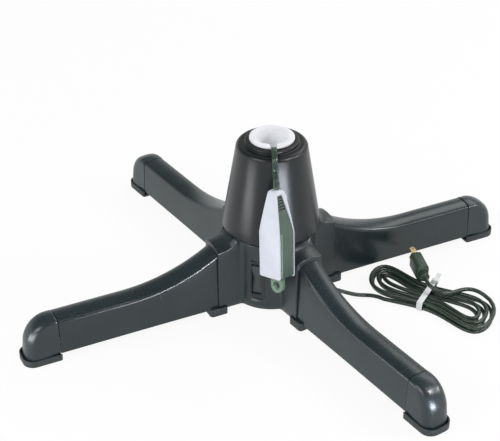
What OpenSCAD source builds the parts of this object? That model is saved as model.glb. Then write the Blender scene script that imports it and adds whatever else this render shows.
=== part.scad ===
// Rotating stand for an artificial Christmas tree: four plastic legs on a moulded hub, a conical
// tower with a motor-driven pole sleeve, a rocker switch, a mains lead and a hanging power tap.
// Millimetres. The origin is on the floor, on the axis of the pole sleeve. +Z is up, and the wall
// with the switch looks along -Y. In each leg's own frame x runs outwards and y across the leg.

/* [Stand] */
// Distance from the pole's axis to the end of each foot
foot_reach = 310; // [290:1:330]
// Angle between the two front legs, and between the two rear ones
front_spread = 98; // [94:1:102]
// Clear height of the legs above the floor between the hub and the foot
leg_clearance = 8; // [6:0.5:10]

/* [Legs] */
// Width of a leg at its top, and the lean of its sides in degrees
leg_w = 28; // [26:0.5:29]
leg_draft = 2; // [1.5:0.1:2.2]
// Height of the leg's crown over its level outer run
leg_flat_z = 52; // [48:0.5:56]
// Height of the leg's crown where it leaves the hub
leg_root_z = 83; // [80:0.5:85]
// Distance out at which the swoop runs level
leg_level_x = 185; // [175:1:195]
// Wall of the leg shells
leg_wall = 2.4; // [2:0.1:3]
// Radius of the leg's crown across its width
crown_r = 40; // [35:1:80]
// Radius of the leg's long top edges
edge_r = 5; // [3:0.5:6]

/* [Feet] */
// Distance from the end of the foot to the seam between leg and end cap
cap_len = 42; // [40:1:46]
// How far the end cap stands proud of the leg
cap_proud = 0.3; // [0.2:0.1:0.6]
// Radius of the end cap over its top
cap_nose_r = 30; // [26:1:32]
// Radius of the end cap's corners in plan
cap_corner_r = 11; // [9:0.5:13]
// Height of the rubber boot's rim
boot_h = 7.8; // [6:0.2:9]
// How far the boot stands proud of the end cap
boot_proud = 1.7; // [1.2:0.1:2.4]

/* [Hub] */
// Radius of the hub's drum
hub_r = 49; // [48:0.5:51]
// Height of the hub's lower edge above the floor
hub_z0 = 7; // [6:0.5:8]
// Top of the drum, on which the tower stands
hub_top = 98; // [96:0.5:100]
// Half the width of a leg socket
socket_hw = 17.8; // [17.6:0.1:18.4]
// Distance out to the end of a leg socket
socket_len = 76; // [74:0.5:78]
// Height of a socket's roof at its outer end, and beside the tower
socket_end_z = 87.5; // [86.5:0.5:89]
socket_in_z = 92.5; // [91:0.5:94]
// Wall of the hub
hub_wall = 3; // [2.5:0.1:3.2]

/* [Tower] */
// Radius of the tower at its foot and at its shoulder
tower_r0 = 56.8; // [55:0.2:58]
tower_r1 = 40.8; // [39:0.2:41.6]
// Height of the tower's shoulder and of the dark collar on it
tower_top = 202.5; // [198:0.5:204]
collar_h = 4.2; // [3.6:0.2:5]
// Radius of that collar
collar_r = 30.5; // [29:0.5:32]
// Wall of the tower
tower_wall = 2.6; // [2.2:0.1:3]

/* [Pole sleeve] */
// Bore for the tree's pole, a tube of 31.75
bore_r = 16.3; // [16:0.1:16.6]
// Outside of the sleeve's tube and of the white ring on top of it
sleeve_r = 20; // [19.5:0.1:20.4]
ring_r = 25.6; // [25:0.2:27]
// Floor of the bore
bore_z0 = 71; // [70:0.5:76]
// Total height of the stand
stand_h = 210.4; // [209:0.2:213]

/* [Drive] */
// Tooth size, and teeth on the sleeve's gear and on the motor's pinion
gear_m = 0.9; // [0.8:0.05:0.95]
gear_teeth = 60; // [56:1:60]
pinion_teeth = 15; // [14:1:16]
// Play taken off the thickness of each tooth
tooth_play = 0.16; // [0.1:0.02:0.24]

/* [Tap] */
// Width, thickness and length of the hanging power tap
tap_w = 32; // [29:0.5:33]
tap_t = 25; // [22:0.5:26]
tap_len = 100; // [97:1:103]
// Bearing at which the tap hangs, from the switch wall round to the right
tap_az = 18.6; // [17:0.2:21]
// Turn of the tap's white face from straight outwards
tap_yaw = -47; // [-50:1:-44]
// How far the tap's foot leans outwards
tap_lean = 15; // [14:0.5:16]

/* [Mains lead] */
// Outside of the lead
lead_d = 4.8; // [4.4:0.2:5]
// Reach of the hank's outer turn from its tie, to the left and to the right
hank_left = 79; // [78:0.5:80]
hank_right = 85; // [84:0.5:86]

/* [Hidden] */
$fn = 96;
gap = 0.3;                    // play between parts that only stand beside each other
fit = 0.05;                   // radial play of a running fit
tiny = 0.01;
sheet_t = 2.5;                // thickness of the base plate and of the shoulders under it

// Bearings of the legs, anticlockwise from +X, in the order of their nodes
leg_az = [270 - front_spread / 2, 270 + front_spread / 2, 90 - front_spread / 2,
    90 + front_spread / 2];
swoop_r = (pow(leg_level_x - socket_len, 2) + pow(leg_root_z - leg_flat_z, 2))
    / (2 * (leg_root_z - leg_flat_z));
seam_x = foot_reach - cap_len;
tongue_x = 48;                // inner end of the leg's tongue in its socket
tongue_hw = socket_hw - hub_wall - gap;
bolt_x = 56;                  // leg bolt along the tongue
pin_x = 72;                   // peg of the pad under the socket

function arc(c, r, a0, a1, n) =
    [for (i = [0:n]) c + r * [cos(a0 + (a1 - a0) * i / n), sin(a0 + (a1 - a0) * i / n)]];

module on_leg(i) { rotate([0, 0, leg_az[i]]) children(); }
module ring(r_out, r_in, z0, z1) {
    translate([0, 0, z0]) difference() {
        cylinder(h = z1 - z0, r = r_out);
        translate([0, 0, -tiny]) cylinder(h = z1 - z0 + 2 * tiny, r = r_in);
    }
}

// Cross-section of a leg, crown at x = 0 and depth along +x: a wide arc between two edge arcs,
// and sides that lean out downwards
function leg_outline(hw, deep) = let(
    off = crown_r - sqrt(pow(crown_r - edge_r, 2) - pow(hw - edge_r, 2)),
    lean = asin((hw - edge_r) / (crown_r - edge_r)),
    side = hw - edge_r + edge_r / cos(leg_draft) + (deep - off) * tan(leg_draft))
    concat([[deep, -side]],
        arc([off, -(hw - edge_r)], edge_r, 270 - leg_draft, 180 + lean, 4),
        arc([crown_r, 0], crown_r, 180 + lean, 180 - lean, 8),
        arc([off, hw - edge_r], edge_r, 180 - lean, 90 + leg_draft, 4),
        [[deep, side]]);
function leg_hw(z) = leg_w / 2 + (leg_flat_z - z) * tan(leg_draft);

// Solid bar of a leg's section: level from x0 to x1
module level_bar(hw, top, x0, x1) {
    translate([x0, 0, top]) rotate([0, 90, 0]) linear_extrude(x1 - x0)
        polygon(leg_outline(hw, top - leg_clearance + 1));
}
// The same bar, swept down from the root along the swoop's arc
module swoop_bar(hw, drop) {
    sweep = 42;
    translate([leg_level_x, 0, leg_flat_z + swoop_r]) rotate([90, 0, 0])
        rotate([0, 0, -90 - sweep]) rotate_extrude(angle = sweep, $fn = 180)
        translate([swoop_r + drop, 0]) polygon(leg_outline(hw, leg_root_z));
}
module leg(i) {
    hw = leg_w / 2;
    rib_t = 2;
    ribs = [112, 148, 185, 222, 250];
    color("#4a4f52") on_leg(i) union() {
        difference() {
            intersection() {
                union() {
                    swoop_bar(hw, 0);
                    level_bar(hw, leg_flat_z, leg_level_x, seam_x);
                }
                translate([socket_len + gap, -leg_w, leg_clearance])
                    cube([seam_x, 2 * leg_w, leg_root_z]);
            }
            intersection() {
                union() {
                    swoop_bar(hw - leg_wall, leg_wall);
                    level_bar(hw - leg_wall, leg_flat_z - leg_wall, leg_level_x, seam_x + 1);
                }
                translate([socket_len + gap + leg_wall, -leg_w, -1])
                    cube([seam_x, 2 * leg_w, leg_root_z + 20]);
            }
        }
        for (x = ribs) translate([x, -hw + 1.4, leg_clearance + 6])
            cube([rib_t, leg_w - 2.8, leg_flat_z - leg_clearance - 13]);
        difference() {
            translate([tongue_x, -tongue_hw, hub_z0 + sheet_t + gap])
                cube([socket_len - tongue_x + 1, 2 * tongue_hw, leg_root_z - 20]);
            translate([tongue_x - 1, -tongue_hw + leg_wall, hub_z0 + sheet_t + 5])
                cube([socket_len - tongue_x, 2 * (tongue_hw - leg_wall), leg_root_z - 20 - 10]);
            translate([bolt_x, 0, 0]) cylinder(h = 20, r = 2.2);
        }
    }
}

// Outside of an end cap, drawn in by t on every side: section, side view and plan in common
module cap_form(t) {
    hw = leg_w / 2 + cap_proud - t;
    foot_hw = leg_hw(0) + cap_proud - t;
    top = leg_flat_z + cap_proud - t;
    end = foot_reach - boot_proud - t;
    nose = cap_nose_r - t;
    lean_in = 3;
    intersection() {
        level_bar(hw, top, seam_x, end + 1);
        translate([0, leg_w, 0]) rotate([90, 0, 0]) linear_extrude(2 * leg_w)
            polygon(concat([[seam_x, -1], [end, -1]],
                arc([end - nose - lean_in, top - nose], nose, 0, 90, 10),
                [[seam_x, top]]));
        translate([0, 0, -1]) linear_extrude(top + 2)
            polygon(concat([[seam_x, -foot_hw]],
                arc([end - cap_corner_r, -foot_hw + cap_corner_r], cap_corner_r, -90, 0, 8),
                arc([end - cap_corner_r, foot_hw - cap_corner_r], cap_corner_r, 0, 90, 8),
                [[seam_x, foot_hw]]));
    }
}
cap_z0 = 3.2;                 // lower edge of the end cap, inside the boot's rim
module end_cap(i) {
    spigot = 9;
    color("#3f4447") on_leg(i) union() {
        difference() {
            intersection() {
                cap_form(0);
                translate([seam_x + gap, -leg_w, cap_z0 + 5]) cube([cap_len, 2 * leg_w, leg_root_z]);
            }
            translate([cap_proud, 0, 0]) cap_form(leg_wall);
        }
        difference() {
            intersection() {
                cap_form(0.4);
                translate([seam_x + gap, -leg_w, cap_z0]) cube([cap_len, 2 * leg_w, 6]);
            }
            translate([cap_proud, 0, 0]) cap_form(leg_wall);
        }
        difference() {
            union() {
                level_bar(leg_w / 2 - leg_wall - gap, leg_flat_z - leg_wall - gap,
                    seam_x - spigot, seam_x + 2);
                level_bar(leg_w / 2 - 1, leg_flat_z - 1, seam_x + 1, seam_x + 3);
            }
            translate([seam_x - spigot - 1, -leg_w / 2 + 2 * leg_wall + gap, 0])
                cube([spigot + 5, leg_w - 4 * leg_wall - 2 * gap, leg_flat_z - 3 * leg_wall]);
            translate([0, -leg_w, 0]) cube([seam_x + 5, 2 * leg_w, leg_clearance + 1]);
        }
    }
}
module boot_plan(hw, x0, x1, r) {
    polygon(concat(arc([x0 + 3, -hw + 3], 3, 180, 270, 3),
        arc([x1 - r, -hw + r], r, -90, 0, 8),
        arc([x1 - r, hw - r], r, 0, 90, 8),
        arc([x0 + 3, hw - 3], 3, 90, 180, 3)));
}
module boot(i) {
    hw = leg_hw(0) + cap_proud + boot_proud;
    x0 = seam_x - 1;
    rim = boot_proud + gap;
    color("#565b5e") on_leg(i) difference() {
        linear_extrude(boot_h) boot_plan(hw, x0, foot_reach, cap_corner_r + boot_proud);
        translate([0, 0, cap_z0 - gap]) linear_extrude(boot_h)
            boot_plan(hw - rim + 0.4, x0 - 9, foot_reach - rim + 0.4, cap_corner_r);
    }
}
module root_pads() {
    pad_x = [65, 87];
    pad_hw = socket_hw + gap + 1.6;
    pad_h = leg_clearance + 1.8;
    under_socket = socket_hw + gap;
    under_leg = leg_hw(leg_clearance) + gap;
    color("#55595c") for (i = [0:3]) on_leg(i) union() {
        difference() {
            linear_extrude(pad_h) boot_plan(pad_hw, pad_x[0], pad_x[1], 4);
            translate([0, -under_socket, hub_z0 - tiny])
                cube([socket_len + gap / 2, 2 * under_socket, pad_h]);
            translate([socket_len, -under_leg, leg_clearance - tiny])
                cube([socket_len, 2 * under_leg, pad_h]);
        }
        translate([pin_x, 0, 0]) cylinder(h = hub_z0 + sheet_t - gap, r = 2.4);
    }
}

// Hub: a drum with four box sockets, open below, and a deck that carries the tower
deck_t = 3;
boss_az = [-12, 12, 168, 192];
boss_at = 40.5;               // bosses that carry the bearing plate
tower_boss_at = 40;           // screws that hold the tower
tower_boss_az = [0, 90, 180, 270];
plate_z = 54;                 // underside of the bearing plate
plate_t = 3;
switch_x = -3.5;              // centre of the switch on its wall
switch_z = [19.5, 70.5];
switch_w = 17.4;
base_screw_az = [14, 70, 110, 166, 246, 294];
base_screw_at = 42;
cord_z = 15;                  // height of the lead's exit on the right-hand wall

block_x = 32;                 // inner end of the socket blocks, inside the drum
arm_x = 36;                   // inner end of the base plate's arms, clear of its holes
module socket_block(hw, x1, drop, z0) {
    translate([0, hw, 0]) rotate([90, 0, 0]) linear_extrude(2 * hw)
        polygon([[block_x, z0], [x1, z0], [x1, socket_end_z - drop],
            [hub_r + 1, socket_in_z - drop], [block_x, socket_in_z - drop]]);
}
post_z0 = hub_z0 + sheet_t + 0.2;
module hub_shell() {
    step_r = hub_r - 2.5;
    inner_r = hub_r - hub_wall;
    color("#43484b") difference() {
        union() {
            difference() {
                union() {
                    cylinder(h = socket_in_z, r = hub_r);
                    translate([0, 0, hub_z0 + 10]) cylinder(h = hub_top - hub_z0 - 10, r = step_r);
                    for (i = [0:3]) on_leg(i) socket_block(socket_hw, socket_len, 0, 0);
                }
                translate([0, 0, -1]) cylinder(h = socket_in_z - deck_t + 1, r = inner_r);
                translate([0, 0, -1]) cylinder(h = hub_top - deck_t + 1, r = step_r - hub_wall);
                for (i = [0:3]) on_leg(i)
                    socket_block(socket_hw - hub_wall, socket_len + 1, hub_wall, 0);
                cylinder(h = hub_top + 1, r = 34);
                translate([-2 * hub_r, -2 * hub_r, -2]) cube([4 * hub_r, 4 * hub_r, hub_z0 + 2]);
            }
            for (a = boss_az) rotate([0, 0, a]) translate([boss_at, 0, plate_z + plate_t])
                cylinder(h = hub_top - deck_t - plate_z - plate_t + 1, r = 4.4);
            for (a = base_screw_az) rotate([0, 0, a]) translate([base_screw_at, 0, post_z0])
                cylinder(h = plate_z - 4 - post_z0, r = 4.4);
        }
        for (a = base_screw_az) rotate([0, 0, a]) translate([base_screw_at, 0, post_z0 - 1])
            cylinder(h = 10, r = 1.5);
        for (a = boss_az) rotate([0, 0, a]) translate([boss_at, 0, plate_z])
            cylinder(h = 18, r = 1.5);
        for (a = tower_boss_az) rotate([0, 0, a]) translate([tower_boss_at, 0, hub_top - 8])
            cylinder(h = 10, r = 1.9);
        translate([switch_x - switch_w / 2, -hub_r - 1, switch_z[0]])
            cube([switch_w, hub_wall + 6, switch_z[1] - switch_z[0]]);
        translate([hub_r - 6, 0, cord_z]) rotate([0, 90, 0]) cylinder(h = 10, r = 4.6);
    }
}
module base_plate() {
    rim = hub_r - hub_wall - gap;
    post_h = motor_z[1] - 7 - hub_z0;
    color("#2c2f31") difference() {
        union() {
            translate([0, 0, hub_z0]) cylinder(h = sheet_t, r = rim);
            for (i = [0:3]) on_leg(i)
                translate([arm_x, -socket_hw + hub_wall + gap, hub_z0])
                cube([socket_len - 0.5 - arm_x, 2 * (socket_hw - hub_wall - gap), sheet_t]);
            for (s = [-1, 1]) translate([s * motor_ear, motor_y, hub_z0]) cylinder(h = post_h, r = 4);
        }
        for (a = base_screw_az) rotate([0, 0, a]) translate([base_screw_at, 0, 0])
            cylinder(h = 20, r = 1.7);
        for (s = [-1, 1]) translate([s * motor_ear, motor_y, hub_z0 + 8]) cylinder(h = post_h, r = 1.4);
        for (i = [0:3]) on_leg(i) {
            translate([bolt_x, 0, 0]) cylinder(h = 20, r = 2.2);
            translate([pin_x, 0, 0]) cylinder(h = 20, r = 2.5);
        }
        for (x = [-18:6:18]) translate([x - 1.2, -24, 0]) cube([2.4, 14, 20]);
    }
}
// One screw with a domed head, its tip up: head below z = 0
module screw(r, len, head_r, head_h) {
    union() {
        cylinder(h = len, r = r);
        translate([0, 0, -head_h]) difference() {
            cylinder(h = head_h, r1 = head_r * 0.8, r2 = head_r);
            for (a = [0, 90]) rotate([0, 0, a]) translate([-head_r * 0.6, -0.4, -tiny])
                cube([head_r * 1.2, 0.8, head_h * 0.6]);
        }
    }
}
module base_screws() {
    color("silver") for (a = base_screw_az) rotate([0, 0, a])
        translate([base_screw_at, 0, hub_z0]) screw(1.5, 8, 3, 1.6);
}
module leg_bolts() {
    color("silver") for (i = [0:3]) on_leg(i) translate([bolt_x, 0, hub_z0])
        screw(2.1, 9, 4.2, 2.4);
}
module tower_screws() {
    color("silver") for (a = tower_boss_az) rotate([0, 0, a])
        translate([tower_boss_at, 0, hub_top - deck_t]) screw(1.5, 14, 3, 1.8);
}

// Tower: a conical shell with a rounded shoulder, a dark collar and a foot flange
module tower_shell() {
    foot_round = 2.4;
    shoulder_r = 5;
    slope = atan((tower_r0 - tower_r1) / (tower_top - hub_top));
    well_r = sleeve_r + 4;
    outer = concat([[0, hub_top], [tower_r0 - foot_round - 1, hub_top]],
        arc([tower_r0 - foot_round - 0.2, hub_top + foot_round], foot_round, -90, slope, 5),
        arc([tower_r1 - shoulder_r, tower_top - shoulder_r], shoulder_r, slope, 90, 7),
        [[collar_r, tower_top], [collar_r, tower_top + collar_h - 1],
            [collar_r - 1, tower_top + collar_h], [0, tower_top + collar_h]]);
    inner = concat([[0, hub_top - 1], [34, hub_top - 1], [34, hub_top + flange_t],
        [tower_r0 - tower_wall - 1.5, hub_top + flange_t]],
        arc([tower_r1 - shoulder_r, tower_top - shoulder_r], shoulder_r - tower_wall, slope, 90, 5),
        [[well_r + 2.6, tower_top - tower_wall], [well_r + 2.6, 186], [0, 186]]);
    boss_h = 14;
    color("#3a3d40") difference() {
        union() {
            difference() {
                rotate_extrude() polygon(outer);
                rotate_extrude() polygon(inner);
            }
            for (a = tower_boss_az) rotate([0, 0, a])
                translate([tower_boss_at, 0, hub_top + tiny]) cylinder(h = boss_h, r = 4);
        }
        cylinder(h = stand_h, r = well_r);
        for (a = tower_boss_az) rotate([0, 0, a]) translate([tower_boss_at, 0, hub_top - 1])
            cylinder(h = boss_h - 1, r = 1.5);
    }
}
module upper_bush() {
    color("ivory") union() {
        ring(sleeve_r + 4, sleeve_r + fit, 188, tower_top + 1);
        ring(sleeve_r + 7, sleeve_r + fit, 184.5, 186);
        ring(sleeve_r + 4, sleeve_r + fit, 185, 189);
    }
}

// Bearing plate across the drum, with the bush and washer that carry the sleeve
spindle_r = 6;
bush_r = 9.5;
module bearing_plate() {
    color("#9a9da0") difference() {
        translate([0, 0, plate_z]) cylinder(h = plate_t, r = hub_r - hub_wall - 0.5);
        translate([0, 0, plate_z - 1]) cylinder(h = plate_t + 2, r = bush_r);
        translate([0, gear_centre, plate_z - 1]) cylinder(h = plate_t + 2, r = 9);
        translate([switch_x - 12, -hub_r, plate_z - 1]) cube([24, hub_r - 28, plate_t + 2]);
        for (a = boss_az) rotate([0, 0, a]) translate([boss_at, 0, plate_z - 1])
            cylinder(h = plate_t + 2, r = 1.8);
        for (i = [0:3]) on_leg(i) translate([tongue_x - 4, -socket_hw, plate_z - 1])
            cube([20, 2 * socket_hw, plate_t + 2]);
    }
}
module bearing_screws() {
    color("silver") for (a = boss_az) rotate([0, 0, a]) translate([boss_at, 0, plate_z])
        screw(1.5, 14, 3, 1.8);
}
module lower_bush() {
    color("#b08d57") union() {
        ring(bush_r, spindle_r + fit, plate_z - 6, plate_z + plate_t);
        ring(bush_r + 3, spindle_r + fit, plate_z - 2, plate_z);
    }
}
washer_t = 1.5;
gear_z = plate_z + plate_t + washer_t;
module thrust_washer() { color("ivory") ring(23, spindle_r + 1, plate_z + plate_t, gear_z); }

// Involute spur gears: an outline of one flank and its mirror, repeated round the wheel
press = 25;                   // pressure angle
addendum = 0.8 * gear_m;
dedendum = 1.1 * gear_m;
gear_centre = gear_m * (gear_teeth + pinion_teeth) / 2;
gear_face = [gear_z + 1, gear_z + 7];
function inv(a) = tan(a) * 180 / PI - a;
function flank_angle(n, r) = let(rb = gear_m * n / 2 * cos(press), rr = max(r, rb))
    90 / n - tooth_play / (gear_m * n) * 180 / PI + inv(press) - inv(acos(rb / rr));
function tooth(n) = let(rp = gear_m * n / 2, rb = rp * cos(press), ra = rp + addendum,
    rf = rp - dedendum, lo = max(rb, rf), steps = 4,
    rs = [rf, for (i = [0:steps]) lo + (ra - lo) * i / steps])
    concat([for (r = rs) [r, -flank_angle(n, r)]],
        [for (i = [len(rs) - 1:-1:0]) [rs[i], flank_angle(n, rs[i])]]);
function gear_outline(n, turn) = [for (k = [0:n - 1], p = tooth(n))
    p[0] * [cos(p[1] + turn + 360 * k / n), sin(p[1] + turn + 360 * k / n)]];

module drive_gear() {
    hub_ring = 23.4;
    color("ivory") difference() {
        union() {
            translate([0, 0, gear_face[0]]) linear_extrude(gear_face[1] - gear_face[0])
                polygon(gear_outline(gear_teeth, 90));
            translate([0, 0, gear_z]) cylinder(h = 2, r = hub_ring);
            translate([0, 0, gear_z + 1]) cylinder(h = bore_z0 + 3 - gear_z, r = hub_ring);
        }
        translate([0, 0, gear_z - 1]) cylinder(h = 30, r = spindle_r);
        translate([0, 0, gear_face[1]]) cylinder(h = 30, r = sleeve_r);
    }
}
module sleeve_spindle() {
    color("silver") union() {
        translate([0, 0, plate_z - 10]) cylinder(h = gear_face[1] - plate_z + 10, r = spindle_r);
        translate([0, 0, plate_z - 8.5]) cylinder(h = 1.6, r = 9);
    }
}
module pole_sleeve() {
    ring_z = tower_top + collar_h + 0.3;
    floor_z = gear_face[1];
    funnel_r = 18.2;
    funnel_d = 5;
    lip = 1.1;
    slot_w = 7.6;
    profile = concat([[0, floor_z], [sleeve_r, floor_z], [sleeve_r, ring_z], [ring_r - lip, ring_z]],
        arc([ring_r - lip, ring_z + lip], lip, -90, 0, 4),
        arc([ring_r - lip, stand_h - lip], lip, 0, 90, 5),
        arc([funnel_r + lip, stand_h - lip], lip, 90, 180, 5),
        [[bore_r, stand_h - funnel_d - lip], [bore_r, bore_z0], [0, bore_z0]]);
    color("white") difference() {
        rotate_extrude() polygon(profile);
        rotate([0, 0, tap_az - 90]) translate([0, -slot_w / 2, ring_z - 4.8])
            cube([ring_r + 5, slot_w, 20]);
    }
}
module slip_ring_carrier() {
    color("#26292b") difference() {
        union() {
            ring(sleeve_r + 3.6, sleeve_r, 112, 152);
            for (z = [112, 130, 149]) ring(sleeve_r + 7, sleeve_r, z, z + 3);
        }
        translate([0, 0, 100]) cylinder(h = 60, r = sleeve_r);
    }
}
slip_z = [119, 137];
slip_h = 6;
slip_r = sleeve_r + 6;
module slip_ring_at(k) {
    color("gold") ring(slip_r, sleeve_r + 3.6, slip_z[k], slip_z[k] + slip_h);
}
// Brush gear: a post on the tower's flange, at the rear left, with two guides and leaf springs
brush_w = 5;
brush_az = 135;
flange_t = 3;
module brush_post() {
    post_x = 34.4;
    post_z0 = hub_top + flange_t;
    post_z1 = 148;
    color("#303436") rotate([0, 0, brush_az]) difference() {
        union() {
            translate([post_x, -7, post_z0]) cube([4, 14, post_z1 - post_z0]);
            translate([post_x, -10, post_z0]) cube([8, 20, 4]);
        }
        for (z = slip_z) translate([post_x - 1, -brush_w / 2 - 0.2, z + 0.3])
            cube([10, brush_w + 0.4, slip_h - 0.6]);
    }
}
module brush_blocks() {
    color("#4d4039") rotate([0, 0, brush_az]) for (z = slip_z) difference() {
        translate([slip_r - 1.5, -brush_w / 2, z + 0.8]) cube([14, brush_w, slip_h - 1.6]);
        translate([0, 0, z]) cylinder(h = slip_h, r = slip_r + fit);
    }
}
module brush_springs() {
    leaf_t = 0.5;
    brush_end = slip_r - 1.5 + 14;
    color("#b9a27a") rotate([0, 0, brush_az]) for (z = slip_z) union() {
        translate([brush_end, -2, z - 1]) cube([leaf_t, 4, slip_h + 4]);
        translate([38.4, -2, z + slip_h + 2.5]) cube([brush_end - 38.4 + leaf_t, 4, leaf_t]);
    }
}

// Motor: a flat geared motor beside the axis, its shaft through the bearing plate
motor_y = 13.5;
motor_r = 23.5;
motor_ear = 28.5;
motor_z = [11, 34];
module motor_can() {
    color("#8e9194") union() {
        translate([0, motor_y, motor_z[0]]) cylinder(h = motor_z[1] - 7 - motor_z[0], r = motor_r);
        translate([0, motor_y, hub_z0 + sheet_t]) cylinder(h = 4, r = 9);
    }
}
module motor_gearbox() {
    color("#b3b6b8") difference() {
        union() {
            translate([0, motor_y, motor_z[1] - 7]) cylinder(h = 7, r = motor_r);
            for (s = [-1, 1]) translate([s * motor_ear, motor_y, motor_z[1] - 7])
                cylinder(h = 2, r = 4.5);
            translate([-motor_ear, motor_y - 4.5, motor_z[1] - 7]) cube([2 * motor_ear, 9, 2]);
            translate([0, gear_centre, motor_z[1] - 1]) cylinder(h = 5, r = 3.4);
        }
        translate([0, gear_centre, motor_z[1] - 5]) cylinder(h = 20, r = 2.5 + fit);
        for (s = [-1, 1]) translate([s * motor_ear, motor_y, 0]) cylinder(h = 60, r = 1.6);
    }
}
module motor_screws() {
    color("silver") for (s = [-1, 1]) translate([s * motor_ear, motor_y, motor_z[1] - 5])
        rotate([180, 0, 0]) screw(1.3, 10, 2.8, 1.6);
}
module motor_pinion() {
    half_tooth = 180 / pinion_teeth;
    color("silver") translate([0, gear_centre, 0]) union() {
        translate([0, 0, gear_face[0] - 0.5]) linear_extrude(gear_face[1] - gear_face[0] + 1)
            polygon(gear_outline(pinion_teeth, 270 + half_tooth));
        translate([0, 0, motor_z[1] - 4]) cylinder(h = gear_face[0] + 3 - motor_z[1] + 4, r = 2.5);
    }
}

// Switch: a frame in the drum's window, a contact block behind it and a two-lobed rocker
rocker_y = -hub_r + 9;        // pivot of the rocker
rocker_z = 47;
rocker_w = 11;
rocker_h = 40;
rocker_x = switch_x - 1.4;
module switch_bezel() {
    w = switch_w - 2 * 0.2;
    h = switch_z[1] - switch_z[0] - 2 * 0.2;
    face_y = -hub_r + 0.9;
    color("#33373a") difference() {
        translate([switch_x - w / 2, face_y, switch_z[0] + 0.2]) cube([w, 6.5, h]);
        translate([rocker_x - rocker_w / 2 - 0.4, face_y - 1, rocker_z - rocker_h / 2 - 0.4])
            cube([rocker_w + 0.8, 10, rocker_h + 0.8]);
    }
}
module switch_body() {
    color("#202325") difference() {
        union() {
            translate([switch_x - 8.5, -hub_r + 7.4, switch_z[0] + 2])
                cube([17, 10.5, switch_z[1] - switch_z[0] - 4]);
            for (z = [28, 47, 66]) translate([switch_x - 3, -hub_r + 17, z - 0.4])
                cube([6, 3.5, 0.8]);
        }
        translate([rocker_x - rocker_w / 2 - 0.4, -hub_r + 7, rocker_z - rocker_h / 2 - 0.4])
            cube([rocker_w + 0.8, 6.4, rocker_h + 0.8]);
        translate([-20, rocker_y, rocker_z]) rotate([0, 90, 0]) cylinder(h = 40, r = 1.2);
    }
}
rocker_tilt = 4;              // half the rocker's travel, in degrees
module switch_rocker() {
    lobe = rocker_h / 2 - 1;
    dip = 4.6;
    face = 7.7;
    half = rocker_w / 2;
    color("#4b5053") translate([rocker_x, rocker_y, rocker_z]) rotate([rocker_tilt, 0, 0]) union() {
        rotate([90, 0, 90]) translate([0, 0, -half]) linear_extrude(rocker_w)
            polygon([[-dip, 0], [-face, lobe], [0, lobe], [2.4, 3], [2.4, -3], [0, -lobe],
                [-face, -lobe]]);
        rotate([0, 90, 0]) translate([0, 0, -half - 1]) cylinder(h = rocker_w + 2, r = 1.15);
    }
}

// Mains lead: strain relief, free stretch, hank, tail, plug
module cord_strain_relief() {
    ribs = [54.5, 59, 63.5, 68];
    color("#26342b") translate([0, 0, cord_z]) rotate([0, 90, 0]) difference() {
        union() {
            translate([0, 0, hub_r - hub_wall - 2.4]) cylinder(h = 2, r = 5.2);
            translate([0, 0, hub_r - hub_wall - 1]) cylinder(h = hub_wall + 2, r = 4.4);
            translate([0, 0, hub_r + 0.4]) cylinder(h = 2, r = 6);
            translate([0, 0, hub_r + 1]) cylinder(h = 26, r1 = 4.6, r2 = 3.4);
            for (x = ribs) translate([0, 0, x]) cylinder(h = 2, r = 4.8);
        }
        translate([0, 0, hub_r - hub_wall - 3]) cylinder(h = 5, r = lead_d / 2);
    }
}
// A tube of sides n round the points p, with rings square to the path
function unit(v) = v / norm(v);
function heading(p, i) = unit(p[min(i + 1, len(p) - 1)] - p[max(i - 1, 0)]);
function ring_at(p, i, n, rx, ry) = let(t = heading(p, i), s = unit(cross([0, 0, 1], t)),
    u = cross(t, s))
    [for (k = [0:n - 1]) p[i] + s * rx * cos(360 * k / n) + u * ry * sin(360 * k / n)];
module tube(p, n, rx, ry) {
    m = len(p);
    pts = concat([for (i = [0:m - 1], q = ring_at(p, i, n, rx, ry)) q], [p[0], p[m - 1]]);
    polyhedron(pts, concat(
        [for (i = [0:m - 2], k = [0:n - 1]) [i * n + k, (i + 1) * n + k, i * n + (k + 1) % n]],
        [for (i = [0:m - 2], k = [0:n - 1])
            [i * n + (k + 1) % n, (i + 1) * n + k, (i + 1) * n + (k + 1) % n]],
        [for (k = [0:n - 1]) [m * n, k, (k + 1) % n]],
        [for (k = [0:n - 1]) [m * n + 1, (m - 1) * n + (k + 1) % n, (m - 1) * n + k]]),
        convexity = 10);
}
// A smooth curve through points: a cubic whose slopes are taken from the points on each side
function spline(p, steps) = let(m = len(p), q = concat([2 * p[0] - p[1]], p, [2 * p[m - 1] - p[m - 2]]))
    concat([for (i = [1:m - 1], k = [0:steps - 1]) let(t = k / steps, a = q[i - 1], b = q[i],
        c = q[i + 1], d = q[i + 2])
        0.5 * (2 * b + (c - a) * t + (2 * a - 5 * b + 4 * c - d) * t * t
            + (3 * b - a - 3 * c + d) * t * t * t)], [p[m - 1]]);
function path_len(p) = len(p) < 2 ? 0 : [for (i = [0:len(p) - 2]) norm(p[i + 1] - p[i])]
    * [for (i = [0:len(p) - 2]) 1];

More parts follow.
